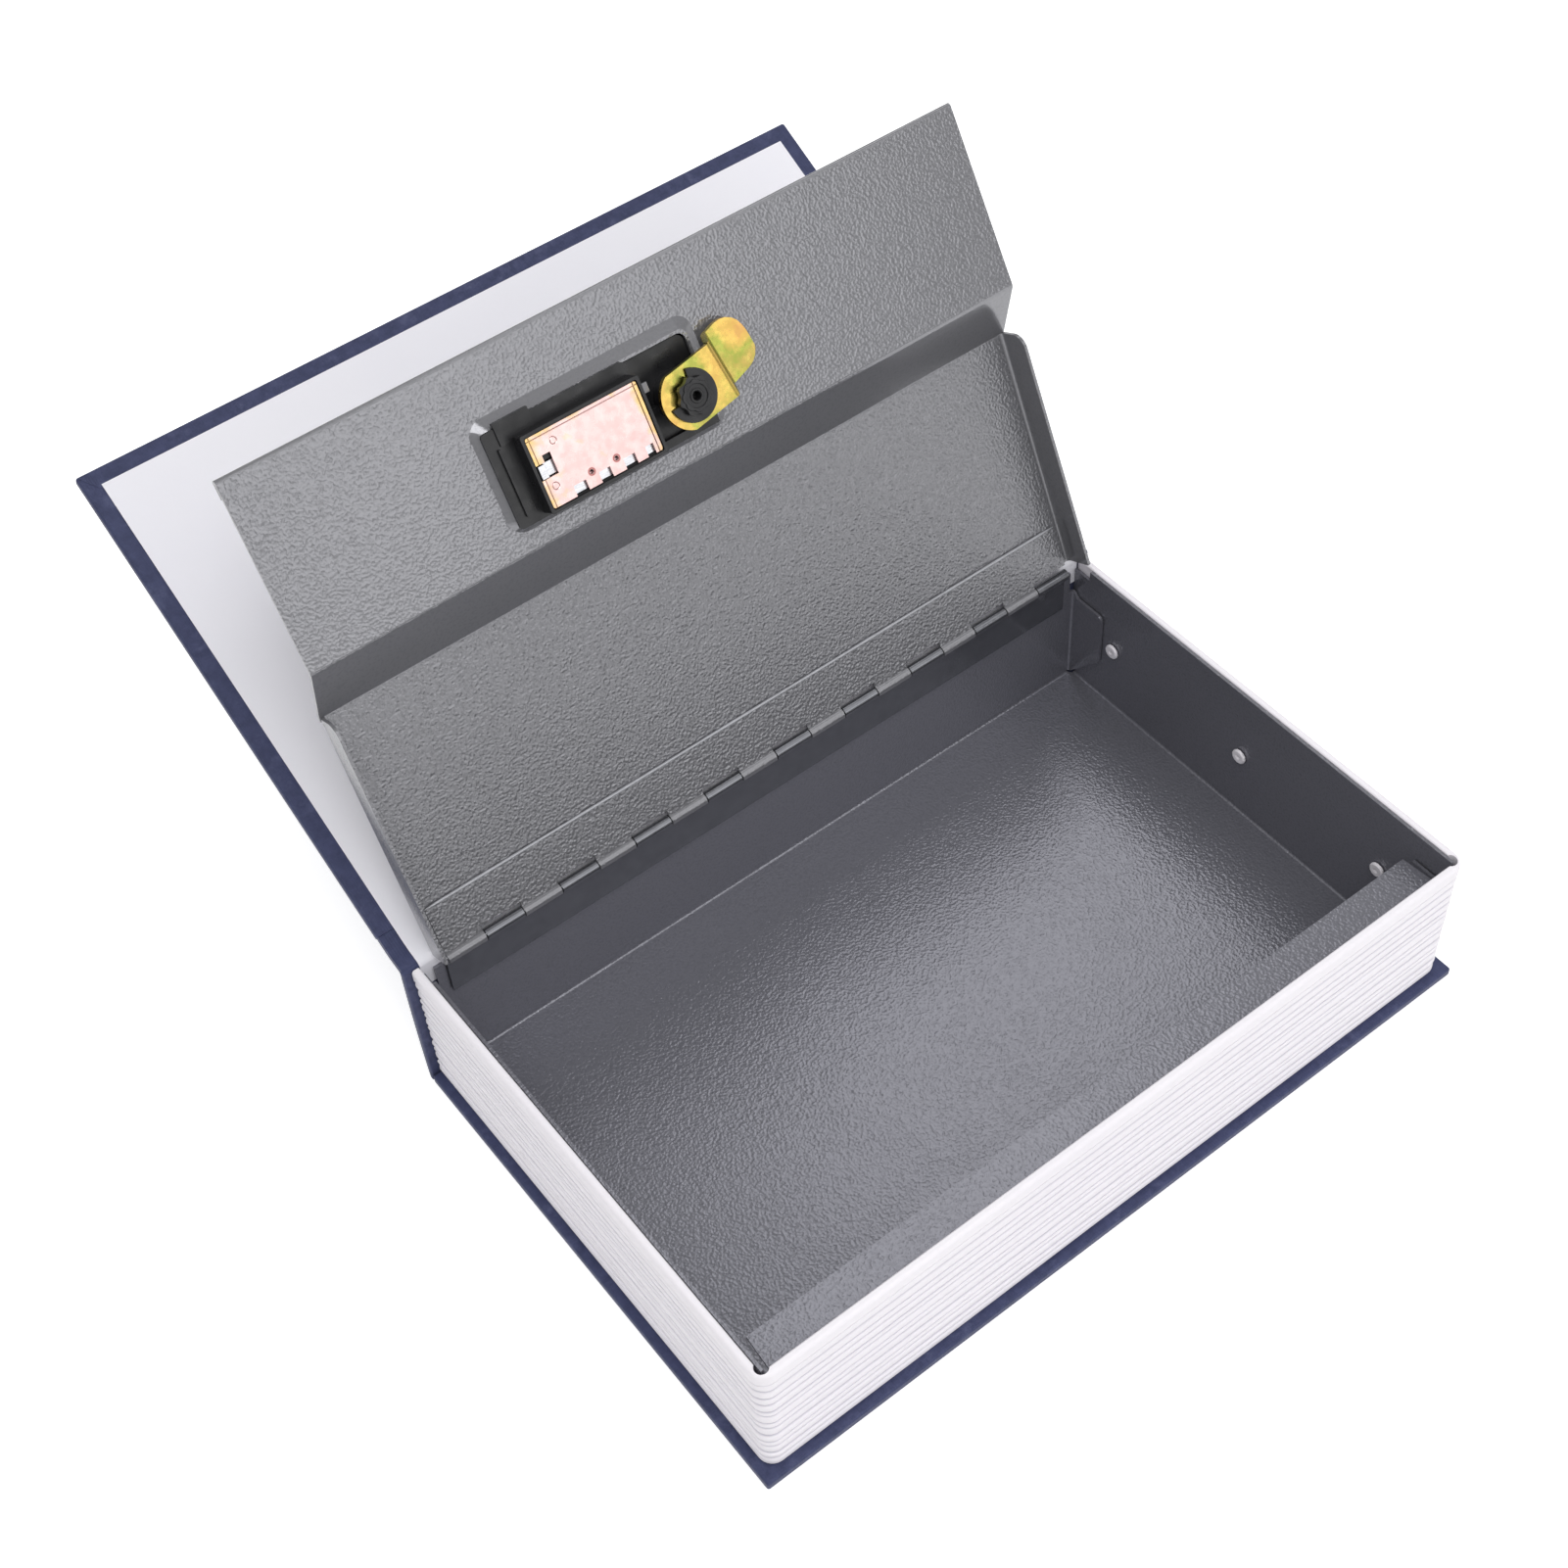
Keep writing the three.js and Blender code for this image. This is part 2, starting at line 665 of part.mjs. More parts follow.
// The steel tray: floor, front wall with its lip and back wall in one folded run, then the side walls.
function steelTray() {
  const middleZ = pageBaseZ + traySheet / 2;
  const frontMiddle = trayFrontOuterY + traySheet / 2;
  const backMiddle = trayBackInnerY + traySheet / 2;
  const lipMiddle = lipTop - traySheet / 2;
  const run = foldedSheet(
    [
      [lipEdgeY, lipMiddle],
      [frontMiddle, lipMiddle],
      [frontMiddle, middleZ],
      [backMiddle, middleZ],
      [backMiddle, backWallTop],
    ],
    traySheet,
    trayBend,
  );
  const runHalf = trayInnerX - runningGap - traySheet - trayBend;
  let body = solidOf(extrudeX(run, -runHalf, runHalf));
  for (const side of [-1, 1]) {
    const beyond = trayOuterX + cutOverrun;
    const lipEnd = shapeOf([
      [side * lipHalfLength, lipEdgeY + cutOverrun],
      [side * lipHalfLength, lipEdgeY],
      [side * (lipHalfLength + lipEndSlant), trayFrontOuterY + traySheet],
      [side * beyond, trayFrontOuterY + traySheet],
      [side * beyond, lipEdgeY + cutOverrun],
    ]);
    const lipCut = extrudeZ(lipEnd, lipTop - traySheet - cutOverrun, lipTop + cutOverrun);
    const x0 = side > 0 ? backWallHalfLength : -beyond;
    const x1 = side > 0 ? beyond : -backWallHalfLength;
    const earCut = block(x0, x1, trayBackInnerY - cutOverrun, backY, backWallEarTop, trayTopZ);
    body = body.subtract(solidOf(lipCut)).subtract(solidOf(earCut));
    body = body.add(traySideWall(side));
    const tabs = frontTab().add(backTab());
    body = body.add(side > 0 ? tabs : mirroredX(tabs));
    for (const y of [trayBackInnerY, trayFrontOuterY + traySheet]) {
      const holeTop = trayFloorZ + cutOverrun;
      const hole = rodZ(cornerHoleRadius, side * trayInnerX, y, 0, holeTop, smallCircleSides);
      body = body.subtract(solidOf(hole));
    }
  }
  return named("steel_tray", geometryOf(body), hammerGrey);
}

// A stud's half section, turned about its own axis: shank, head and dimple.
function studGeometry() {
  const shankLength = runningGap + traySheet + seatGap + studGrip;
  const headEdge = studHeadThickness / 3;
  const profile = [
    [0, -studHeadThickness + studDimpleDepth],
    [studDimpleRadius / 2, -studHeadThickness + studDimpleDepth],
    [studDimpleRadius, -studHeadThickness],
    [studHeadRadius - headEdge, -studHeadThickness],
    [studHeadRadius, -studHeadThickness + headEdge],
    [studHeadRadius, 0],
    [studShankRadius, 0],
    [studShankRadius, shankLength],
    [0, shankLength],
  ];
  return new THREE.LatheGeometry(
    profile.map(([r, y]) => new THREE.Vector2(r, y)),
    smallCircleSides,
  );
}

function studs() {
  const group = new THREE.Group();
  for (const [label, side] of [
    ["left", -1],
    ["right", 1],
  ]) {
    studYs().forEach((y, i) => {
      const stud = named(`stud_${label}_${i + 1}`, studGeometry(), whitePlastic);
      stud.rotation.z = (-side * Math.PI) / 2;
      stud.position.set(side * (trayInnerX - runningGap), y, studHeight);
      group.add(stud);
    });
  }
  return group;
}

// One hinge knuckle about the origin, with the strap that ties it to its leaf along -Y.
function knuckleGeometry(strapTop) {
  const length = knucklePitch - runningGap;
  const ring = new THREE.Shape();
  ring.absarc(0, 0, barrelRadius, 0, 2 * Math.PI);
  const strapEnd = -leafCutBack - cutOverrun;
  const strap = block(-length / 2, length / 2, strapEnd, -boreRadius, strapTop - leafThickness, strapTop);
  const barrel = solidOf(extrudeX(ring, -length / 2, length / 2, smallCircleSides)).add(solidOf(strap));
  const bore = rodX(boreRadius, -length, length, 0, 0, smallCircleSides);
  return geometryOf(barrel.subtract(solidOf(bore)));
}

// A leaf along -Y from its hinge line, with a knuckle at every other place.
function hingeLeaf(width, strapTop, firstKnuckle) {
  const half = hingeHalfLength;
  let leaf = solidOf(block(-half, half, -width, -leafCutBack, strapTop - leafThickness, strapTop));
  const knuckle = knuckleGeometry(strapTop);
  for (let i = firstKnuckle; i < knuckleCount; i += 2) {
    const x = -half + knucklePitch * (i + 1 / 2);
    leaf = leaf.add(solidOf(knuckle.clone().translate(x, 0, 0)));
  }
  return geometryOf(leaf);
}

function boxHingeLeaf() {
  const leaf = named("box_hinge_leaf", hingeLeaf(boxLeafDrop, boxLeafOffset + leafThickness, 1), hingeGrey);
  leaf.rotation.x = Math.PI / 2;
  leaf.position.set(0, hingeY, hingeZ);
  leaf.scale.set(1, 1, -1);
  return leaf;
}

function hingePin() {
  const half = hingeHalfLength;
  return named("hinge_pin", rodX(pinRadius, -half, half, hingeY, hingeZ, smallCircleSides), bareSteel);
}

// The lid's bent section: hinge panel, step down, tilted lock section and the hem folded out at its edge.
function lidProfile() {
  const half = lidSheet / 2;
  const tilt = THREE.MathUtils.degToRad(lockTilt);
  const panelZ = seatGap + half;
  const onLock = (u, out) => [
    -lockSectionStart - u * Math.cos(tilt) + (half + out) * Math.sin(tilt),
    -lockPlaneDrop + u * Math.sin(tilt) + (half + out) * Math.cos(tilt),
  ];
  const hemRise = lidSheet + hemGap;
  const hemBend = hemGap / 2;
  return foldedSheet(
    [
      [-lidStart, panelZ],
      [-lidPanelWidth, panelZ],
      onLock(0, 0),
      [...onLock(lockSectionWidth - half, 0), hemBend],
      [...onLock(lockSectionWidth - half, hemRise), hemBend],
      onLock(lockSectionWidth - hemWidth, hemRise),
    ],
    lidSheet,
    lidBend,
  );
}

// A side flange of the hinge panel, folded in, with its free corner rounded.
function lidFlange() {
  const x = lidHalfLength - lidSheet / 2;
  const z = seatGap + lidSheet / 2;
  const fold = foldedSheet(
    [
      [x - 2 * foldLap, z],
      [x, z],
      [x, -flangeDepth],
    ],
    lidSheet,
    lidBend,
  );
  const outline = new THREE.Shape();
  const lidOuter = seatGap + lidSheet;
  outline.moveTo(-lidStart, lidOuter);
  outline.lineTo(-lidPanelWidth, lidOuter);
  outline.lineTo(-lidPanelWidth, -flangeDepth + flangeCornerRadius);
  const centreY = -lidPanelWidth + flangeCornerRadius;
  outline.absarc(centreY, -flangeDepth + flangeCornerRadius, flangeCornerRadius, Math.PI, Math.PI * 1.5);
  outline.lineTo(-lidStart, -flangeDepth);
  const trim = extrudeX(outline, 0, lidHalfLength + cutOverrun);
  return solidOf(extrudeY(fold, -lidPanelWidth, -lidStart)).intersect(solidOf(trim));
}

// The opening that the collar leaves in the lid, in the lock's own frame where -Y runs to the free edge.
const opening = {
  left: -collarLeft + collarSlope + collarRim,
  right: collarRight - collarSlope - collarRim,
  near: collarNear + collarNearSlope + collarRim,
  far: collarFar - collarSlope - collarRim,
};

// A rounded rectangle set in from the collar's foot by a share of its slope, and by a rim.
function collarLoop(share, rim, z) {
  const inset = collarSlope * share + rim;
  const nearInset = collarNearSlope * share + rim;
  const points = rectPoints(
    -collarLeft + inset,
    collarRight - inset,
    -collarFar + inset,
    -collarNear - nearInset,
    collarCornerRadius - (collarCornerRadius / 2) * share,
  );
  return points.map((p) => new THREE.Vector3(p.x, p.y, z));
}

// The pressed collar: the sheet rises to a flat rim round the lock opening.
function lockCollar() {
  const sink = lidSheet * collarSinkShare;
  const lead = -sink / collarHeight;
  return facingOut(
    loft(
      [
        collarLoop(lead, 0, sink),
        collarLoop(1, 0, -collarHeight),
        collarLoop(1, collarRim, -collarHeight),
        collarLoop(1, collarRim, -collarHeight + lidSheet),
        collarLoop(1, 0, -collarHeight + lidSheet),
        collarLoop(0, 0, lidSheet * collarLapShare),
      ],
      true,
    ),
  );
}

function lidPanel() {
  let body = solidOf(extrudeX(lidProfile(), -lidHalfLength, lidHalfLength));
  const panelEnd = lidHalfLength - foldLap;
  for (const side of [-1, 1]) {
    const x0 = side > 0 ? panelEnd : -lidHalfLength - cutOverrun;
    const x1 = side > 0 ? lidHalfLength + cutOverrun : -panelEnd;
    const strip = block(x0, x1, -lidPanelWidth + lidBend, 0, -cutOverrun, lidSheet + seatGap + cutOverrun);
    body = body.subtract(solidOf(strip));
    body = body.add(side > 0 ? lidFlange() : mirroredX(lidFlange()));
  }
  const toLid = lockFrame();
  const holeShape = shapeOf(collarLoop(collarCutShare, 0, 0).map((p) => [p.x, p.y]));
  const hole = extrudeZ(holeShape, -cutOverrun, lidSheet + cutOverrun).applyMatrix4(toLid);
  const collar = lockCollar().applyMatrix4(toLid);
  body = body.subtract(solidOf(hole)).add(solidOf(collar));
  return named("lid_panel", geometryOf(body), hammerGrey);
}

function lockFrame() {
  const tilt = THREE.MathUtils.degToRad(lockTilt);
  return new THREE.Matrix4()
    .makeTranslation(0, -lockSectionStart, -lockPlaneDrop)
    .multiply(new THREE.Matrix4().makeRotationX(-tilt));
}

// In the lock's frame Z = 0 is the lid's inner face, -Z points into the box and u is measured along -Y.
function lockHousing() {
  const gap = runningGap;
  const bodyBox = roundedRect(
    opening.left + gap,
    opening.right - gap,
    -opening.far + gap,
    -opening.near - gap,
    collarCornerRadius / 2,
  );
  const caseLeft = -plateLeft - caseWall;
  const caseRight = -plateRight + caseWall;
  const caseTop = plateLevel + caseRim;
  let body = solidOf(extrudeZ(bodyBox, -rightFloorLevel, housingFloor));
  const flangeBox = roundedRect(
    opening.left - flangeOverLeft,
    caseRight,
    -opening.far - flangeOverSide,
    -opening.near + flangeOverSide,
    housingCornerRadius,
  );
  body = body.add(solidOf(extrudeZ(flangeBox, -flangeLevel, -flangeLevel + flangeThickness)));
  const nearLedge = block(
    caseRight - caseWall,
    opening.right - gap,
    -plateNear,
    -opening.near + flangeOverSide,
    -flangeLevel,
    -flangeLevel + flangeThickness,
  );
  const ledgeFoot = block(
    caseRight - caseWall,
    opening.right - gap - collarCornerRadius / 2,
    -plateNear,
    -opening.near - gap,
    -flangeLevel,
    0,
  );
  body = body.add(solidOf(nearLedge)).add(solidOf(ledgeFoot));
  const neck = roundedRect(
    opening.left + gap,
    caseRight,
    -opening.far + gap,
    -opening.near - gap,
    collarCornerRadius / 2,
  );
  body = body.add(solidOf(extrudeZ(neck, -flangeLevel, 0)));
  const caseFar = -plateFar - caseWall;
  const caseNear = -plateNear + caseWall;
  const lockCase = roundedRect(caseLeft, caseRight, caseFar, caseNear, plateCornerRadius);
  body = body.add(solidOf(extrudeZ(lockCase, -caseTop, 0)));
  body = body.add(solidOf(rodZ(shaftBossRadius, shaftX, -shaftU, -plateLevel, 0)));
  const webTop = -flangeLevel - caseWall;
  const web = block(caseRight - caseWall, shaftX, -shaftU, -shaftU + webThickness, webTop, 0);
  body = body.add(solidOf(web));
  const ridgeX = caseLeft - ledgeRidgeInset;
  const ridgeU = (plateNear + plateFar) / 2;
  const ridge = block(
    ridgeX,
    ridgeX + ledgeRidgeWidth,
    -ridgeU - ledgeRidgeLength / 2,
    -ridgeU + ledgeRidgeLength / 2,
    -flangeLevel - ledgeRidgeHeight,
    -flangeLevel + flangeThickness,
  );
  body = body.add(solidOf(ridge));
  const earTop = -flangeLevel - earHeight;
  const ear = block(-earLeft, -earRight, -earFar, -plateFar, earTop, -flangeLevel + flangeThickness);
  body = body.add(solidOf(ear));
  return named("lock_housing", geometryOf(housingCuts(body)), blackPlastic);
}

// The pockets in the housing: plate recess, spring channel, wheel well, lever track, bar slot and bores.
function housingCuts(body) {
  const recess = roundedRect(
    -plateLeft - seatGap,
    -plateRight + seatGap,
    -plateFar - seatGap,
    -plateNear + seatGap,
    plateCornerRadius,
  );
  const recessLevel = plateBackLevel - seatGap;
  const wellLeft = -Math.max(...wheelXs) - wheelWidth / 2 - wheelWellMargin;
  const wellRight = -Math.min(...wheelXs) + wheelWidth / 2 + wheelWellMargin;
  const wellNear = wheelU - wheelRadius - runningGap;
  const wellFar = wheelU + wheelRadius + 2 * runningGap + barWidth;
  const channelDepth = detentThickness + 2 * seatGap;
  const shaftRoom = wheelShaftRadius + seatGap;
  const shaftEnd = wheelShaftGrip + seatGap;
  const barNear = wheelU + wheelRadius + seatGap / 2;
  const barLevel = plateBackLevel - seatGap;
  const top = housingFloor + cutOverrun;
  const cuts = [
    extrudeZ(recess, -plateLevel - caseRim - cutOverrun, -recessLevel),
    block(wellLeft, wellRight, -wellFar, -wellNear, -recessLevel - cutOverrun, top),
    block(
      -windowEdgesLeft[0] - detentMargin - seatGap,
      -windowEdgesRight[windowEdgesRight.length - 1] + detentMargin + seatGap,
      -wellNear - cutOverrun,
      -plateNear - detentMargin + seatGap,
      -recessLevel - cutOverrun,
      -recessLevel + channelDepth,
    ),
    block(
      -plateLeft - seatGap,
      wellLeft + cutOverrun,
      -slotStemFar - seatGap,
      -slotStemNear + seatGap,
      -recessLevel - cutOverrun,
      -recessLevel + leverThickness + 2 * seatGap,
    ),
    block(
      wellRight - cutOverrun,
      -plateRight + caseWall + cutOverrun,
      -barNear - barWidth - seatGap,
      -barNear,
      -barLevel,
      -barLevel + barThickness + 2 * seatGap,
    ),
    rodX(shaftRoom, wellLeft - shaftEnd, wellRight + shaftEnd, -wheelU, -wheelLevel, smallCircleSides),
    rodZ(shaftRadius + seatGap, shaftX, -shaftU, -plateLevel - cutOverrun, top, circleSides),
  ];
  return cuts.reduce((solid, cut) => solid.subtract(solidOf(cut)), body);
}

// The bright plate over the lock works, with its lever slot, four windows and two pin holes.
function lockPlate() {
  const z0 = -plateLevel;
  const z1 = -plateBackLevel;
  const outline = roundedRect(-plateLeft, -plateRight, -plateFar, -plateNear, plateCornerRadius);
  let body = solidOf(extrudeZ(outline, z0, z1));
  const bottom = z0 - cutOverrun;
  const top = z1 + cutOverrun;
  const cuts = [
    block(-plateLeft - cutOverrun, -slotCrossRight, -slotStemFar, -slotStemNear, bottom, top),
    block(-slotCrossLeft, -slotCrossRight, -slotCrossFar, -slotCrossNear, bottom, top),
  ];
  windowEdgesLeft.forEach((left, i) => {
    cuts.push(block(-left, -windowEdgesRight[i], -windowFar, -plateNear + cutOverrun, bottom, top));
  });
  pinHoleXs.forEach((x) => cuts.push(rodZ(pinHoleRadius, -x, -pinHoleU, bottom, top, smallCircleSides)));
  body = cuts.reduce((solid, cut) => solid.subtract(solidOf(cut)), body);
  return named("lock_plate", geometryOf(body), pinkPlate);
}

// The lever that frees the wheels for a new number: a tab in the plate's slot on a shank below it.
function resetLever() {
  const left = -plateLeft + seatGap;
  const near = slotStemNear + seatGap;
  const far = slotStemFar - seatGap;
  const shankTop = -plateBackLevel + seatGap;
  const back = shankTop + leverThickness;
  const tab = block(left, left + leverTabLength, -far, -near, -plateLevel - leverProud, back);
  const shank = block(left, left + leverShankLength, -far, -near, shankTop, back);
  return named("reset_lever", geometryOf(join(tab, shank)), bareSteel);
}

// The comb spring that clicks each wheel into place: its tabs show in the plate's windows.
function detentSpring() {
  const left = -windowEdgesLeft[0] - detentMargin;
  const right = -windowEdgesRight[windowEdgesRight.length - 1] + detentMargin;
  const z0 = -plateBackLevel + seatGap;
  const near = plateNear + detentMargin;
  const far = wheelU - wheelRadius - 2 * runningGap;
  return named("detent_spring", block(left, right, -far, -near, z0, z0 + detentThickness), bareSteel);
}

// The bar beside the wheels that lets the turn shaft go when all the gates line up.
function lockingBar() {
  const near = wheelU + wheelRadius + seatGap;
  const z0 = -plateBackLevel + 2 * seatGap;
  const left = -Math.max(...wheelXs) - wheelWidth / 2;
  const bar = block(left, -barEndX, -near - barWidth, -near, z0, z0 + barThickness);
  const farSide = -near - barWidth;
  const teeth = wheelXs.map((x) =>
    block(-x - wheelWidth / 4, -x + wheelWidth / 4, farSide, farSide + barWidth / 2, z0, z0 + barToothDepth),
  );
  return named("locking_bar", geometryOf(join(bar, ...teeth)), bareSteel);
}

// A number wheel, with a shallow flute between one digit and the next.
function numberWheel(name, x) {
  const outline = new THREE.Shape();
  const steps = wheelDigits * 4;
  for (let i = 0; i < steps; i++) {
    const angle = (2 * Math.PI * i) / steps;
    const radius = wheelRadius - (i % 4 === 0 ? wheelFlute : 0);
    const place = [radius * Math.cos(angle), radius * Math.sin(angle)];
    if (i === 0) outline.moveTo(...place);
    else outline.lineTo(...place);
  }
  const disc = solidOf(extrudeX(outline, -wheelWidth / 2, wheelWidth / 2));
  const bore = rodX(wheelShaftRadius + seatGap / 2, -wheelWidth, wheelWidth, 0, 0, smallCircleSides);
  const wheel = named(name, geometryOf(disc.subtract(solidOf(bore))), blackPlastic);
  wheel.position.set(-x, -wheelU, -wheelLevel);
  return wheel;
}

function wheelShaft() {
  const grip = wheelWellMargin + wheelShaftGrip;
  const left = -Math.max(...wheelXs) - wheelWidth / 2 - grip;
  const right = -Math.min(...wheelXs) + wheelWidth / 2 + grip;
  const shaft = rodX(wheelShaftRadius, left, right, -wheelU, -wheelLevel, smallCircleSides);
  return named("wheel_shaft", shaft, bareSteel);
}

// The cover plate on the lid's outer face, with a raised rim, a window over each wheel and the knob's bore.
function escutcheon() {
  const left = -collarLeft - escutcheonMargin;
  const right = collarRight + escutcheonMargin;
  const far = -collarFar - escutcheonMargin;
  const near = -collarNear + escutcheonMargin;
  const z0 = escutcheonLevel;
  const z1 = z0 + escutcheonThickness;
  const outer = roundedRect(left, right, far, near, collarCornerRadius);
  let body = solidOf(extrudeZ(outer, z0, z1 + escutcheonRimHeight));
  const rim = escutcheonRimWidth;
  const pan = roundedRect(left + rim, right - rim, far + rim, near - rim, collarCornerRadius - rim);
  body = body.subtract(solidOf(extrudeZ(pan, z1, z1 + escutcheonRimHeight + cutOverrun)));
  const halfChord = Math.sqrt(wheelRadius ** 2 - (wheelLevel + z0) ** 2) + wheelWindowMargin;
  for (const x of wheelXs) {
    const halfWidth = wheelWidth / 2 + wheelWindowMargin;
    const far = -wheelU - halfChord;
    const hole = block(-x - halfWidth, -x + halfWidth, far, -wheelU + halfChord, 0, z1 + cutOverrun);
    body = body.subtract(solidOf(hole));
  }
  const bore = rodZ(shaftRadius + seatGap, shaftX, -shaftU, 0, z1 + cutOverrun);
  return named("escutcheon", geometryOf(body.subtract(solidOf(bore))), blackPlastic);
}

// The turned parts are modelled about the shaft's own axis, with the arm along +X.
function turnShaft() {
  const knobFace = escutcheonLevel + escutcheonThickness + seatGap;
  const top = knobFace + knobSocketDepth - seatGap;
  const stem = rodZ(shaftRadius, 0, 0, -headLevel - seatGap, top);
  const lobes = new THREE.Shape();
  const steps = shaftLobes * 4;
  for (let i = 0; i < steps; i++) {
    const angle = (2 * Math.PI * i) / steps;
    const radius = shaftLobeRadius - (i % 4 < 2 ? 0 : shaftLobeDepth);
    const place = [radius * Math.cos(angle), radius * Math.sin(angle)];
    if (i === 0) lobes.moveTo(...place);
    else lobes.lineTo(...place);
  }
  const end = -headLevel - shaftHeadHeight;
  const head = extrudeZ(lobes, end, -headLevel);
  const hole = rodZ(shaftHoleRadius, 0, 0, end - cutOverrun, end + shaftHoleDepth, smallCircleSides);
  return named("turn_shaft", geometryOf(join(stem, head).subtract(solidOf(hole))), blackPlastic);
}

// The cam seen from above: a round-ended arm, and a round-cornered tongue turned a little to one side.
function camPlan(bottom, top) {
  const side = Math.asin(camArmHalfWidth / camRoundRadius);
  const arm = new THREE.Shape();
  arm.absarc(0, 0, camRoundRadius, Math.PI - side, Math.PI + side);
  arm.lineTo(camJoggleEnd, -camArmHalfWidth);
  arm.lineTo(camJoggleEnd, camArmHalfWidth);
  const turn = THREE.MathUtils.degToRad(camTongueTurn);
  const length = (camReach - camJoggleEnd) / Math.cos(turn);
  const half = camTongueHalfWidth;
  const outline = roundedRect(-camJoggleEnd, length, -half, half, camTongueCorner);
  const tongue = extrudeZ(outline, bottom, top).rotateZ(-turn).translate(camJoggleEnd, -camTongueShift, 0);
  const beyond = camReach + cutOverrun;
  const room = block(camJoggleStart, beyond, -camReach, camReach, bottom, top);
  return solidOf(extrudeZ(arm, bottom, top, circleSides)).add(solidOf(tongue).intersect(solidOf(room)));
}

// The cam: its arm lies over the lock, joggles down and ends in the tongue that hooks the tray's lip.
function cam() {
  const armZ = -camTopLevel - camThickness / 2;
  const tongueZ = -camTongueLevel - camThickness / 2;
  const side = foldedSheet(
    [
      [-camRoundRadius, armZ],
      [camJoggleStart, armZ],
      [camJoggleEnd, tongueZ],
      [camReach, tongueZ],
    ],
    camThickness,
    camThickness / 4,
  );
  const bottom = -camTopLevel - 2 * camThickness;
  const strip = solidOf(extrudeY(side, -camReach, camReach));
  const bore = rodZ(shaftRadius + seatGap, 0, 0, bottom, 0);
  return named("cam", geometryOf(strip.intersect(camPlan(bottom, 0)).subtract(solidOf(bore))), yellowZinc);
}

// The retaining washer between the cam and the shaft's head, open on one side.
function camRetainer() {
  const z0 = -retainerLevel - retainerThickness;
  const gapMiddle = THREE.MathUtils.degToRad(retainerMissingMiddle);
  const gapHalf = THREE.MathUtils.degToRad(retainerMissingAngle) / 2;
  const washer = new THREE.Shape();
  const start = gapMiddle + gapHalf;
  const end = gapMiddle - gapHalf + 2 * Math.PI;
  washer.absarc(0, 0, retainerRadius, start, end);
  washer.absarc(0, 0, shaftRadius + seatGap, end, start, true);
  return named("cam_retainer", extrudeZ(washer, z0, -retainerLevel, circleSides), blackPlastic);
}

// The knob outside: a chamfered disc with a finger grip across it and a socket for the shaft.
function turnKnob() {
  const z0 = escutcheonLevel + escutcheonThickness + seatGap;
  const profile = [
    [0, z0],
    [knobRadius, z0],
    [knobRadius, z0 + knobBaseHeight - knobChamfer],
    [knobRadius - knobChamfer, z0 + knobBaseHeight],
    [0, z0 + knobBaseHeight],
  ].map(([r, z]) => new THREE.Vector2(r, z));
  const disc = new THREE.LatheGeometry(profile, circleSides).rotateX(Math.PI / 2);
  const half = knobGripWidth / 2;
  const reach = knobRadius - knobChamfer;
  const gripTop = z0 + knobBaseHeight + knobGripHeight;
  const grip = shapeOf([
    [-half - knobChamfer, z0 + knobBaseHeight - knobChamfer],
    [half + knobChamfer, z0 + knobBaseHeight - knobChamfer],
    [half, gripTop - knobChamfer],
    [half - knobChamfer, gripTop],
    [-half + knobChamfer, gripTop],
    [-half, gripTop - knobChamfer],
  ]);
  const round = rodZ(reach, 0, 0, 0, gripTop + cutOverrun);
  const bar = solidOf(extrudeY(grip, -reach, reach)).intersect(solidOf(round));
  const socket = rodZ(shaftRadius + seatGap, 0, 0, 0, z0 + knobSocketDepth);
  return named("turn_knob", geometryOf(solidOf(disc).add(bar).subtract(solidOf(socket))), blackPlastic);
}

function lockWorks() {
  const group = new THREE.Group();
  group.applyMatrix4(lockFrame());
  group.add(lockHousing(), lockPlate(), resetLever(), detentSpring(), lockingBar());
  group.add(wheelShaft(), escutcheon());
  wheelXs.forEach((x, i) => group.add(numberWheel(`number_wheel_${i + 1}`, x)));
  const turning = new THREE.Group();
  turning.position.set(shaftX, -shaftU, 0);
  turning.rotation.z = -THREE.MathUtils.degToRad(camRestAngle);
  turning.add(turnShaft(), cam(), camRetainer(), turnKnob());
  group.add(turning);
  return group;
}

function lid() {
  const group = new THREE.Group();
  group.position.set(0, hingeY, hingeZ);
  group.rotation.x = -THREE.MathUtils.degToRad(lidOpenAngle);
  const leaf = named("lid_hinge_leaf", hingeLeaf(lidLeafWidth, 0, 0), hingeGrey);
  group.add(lidPanel(), leaf, lockWorks());
  return group;
}

// The front cover: a board, a thinner cloth joint and the bead that rolls in the top of the spine.
function coverBoard() {
  const board = boardSolid(-coverWidth, -jointWidth, coverRise, true);
  const joint = shapeOf([
    [-jointWidth - cutOverrun, coverRise],
    [-coverBeadRadius, coverRise],
    [-coverBeadRadius / 2, coverBeadRadius / 2],
    [coverBeadRadius / 2, coverBeadRadius / 2],
    [0, coverRise + jointThickness],
    [-jointWidth - cutOverrun, coverRise + jointThickness],
  ]);
  const half = caseLength / 2;
  const bead = rodX(coverBeadRadius, -half, half, 0, 0);
  const whole = board.add(solidOf(extrudeX(joint, -half, half))).add(solidOf(bead));
  return named("cover_board", geometryOf(whole), navyCloth);
}

function endpaper() {
  const half = caseLength / 2 - endpaperBorder;
  const z1 = coverRise - seatGap;
  const sheet = block(-half, half, -coverWidth + endpaperBorder, -endpaperEnd, z1 - endpaperThickness, z1);
  return named("endpaper", sheet, whitePaper);
}

function cover() {
  const group = new THREE.Group();
  group.position.set(0, pivotY, pivotZ);
  group.rotation.x = -THREE.MathUtils.degToRad(coverOpenAngle);
  group.add(coverBoard(), endpaper());
  return group;
}

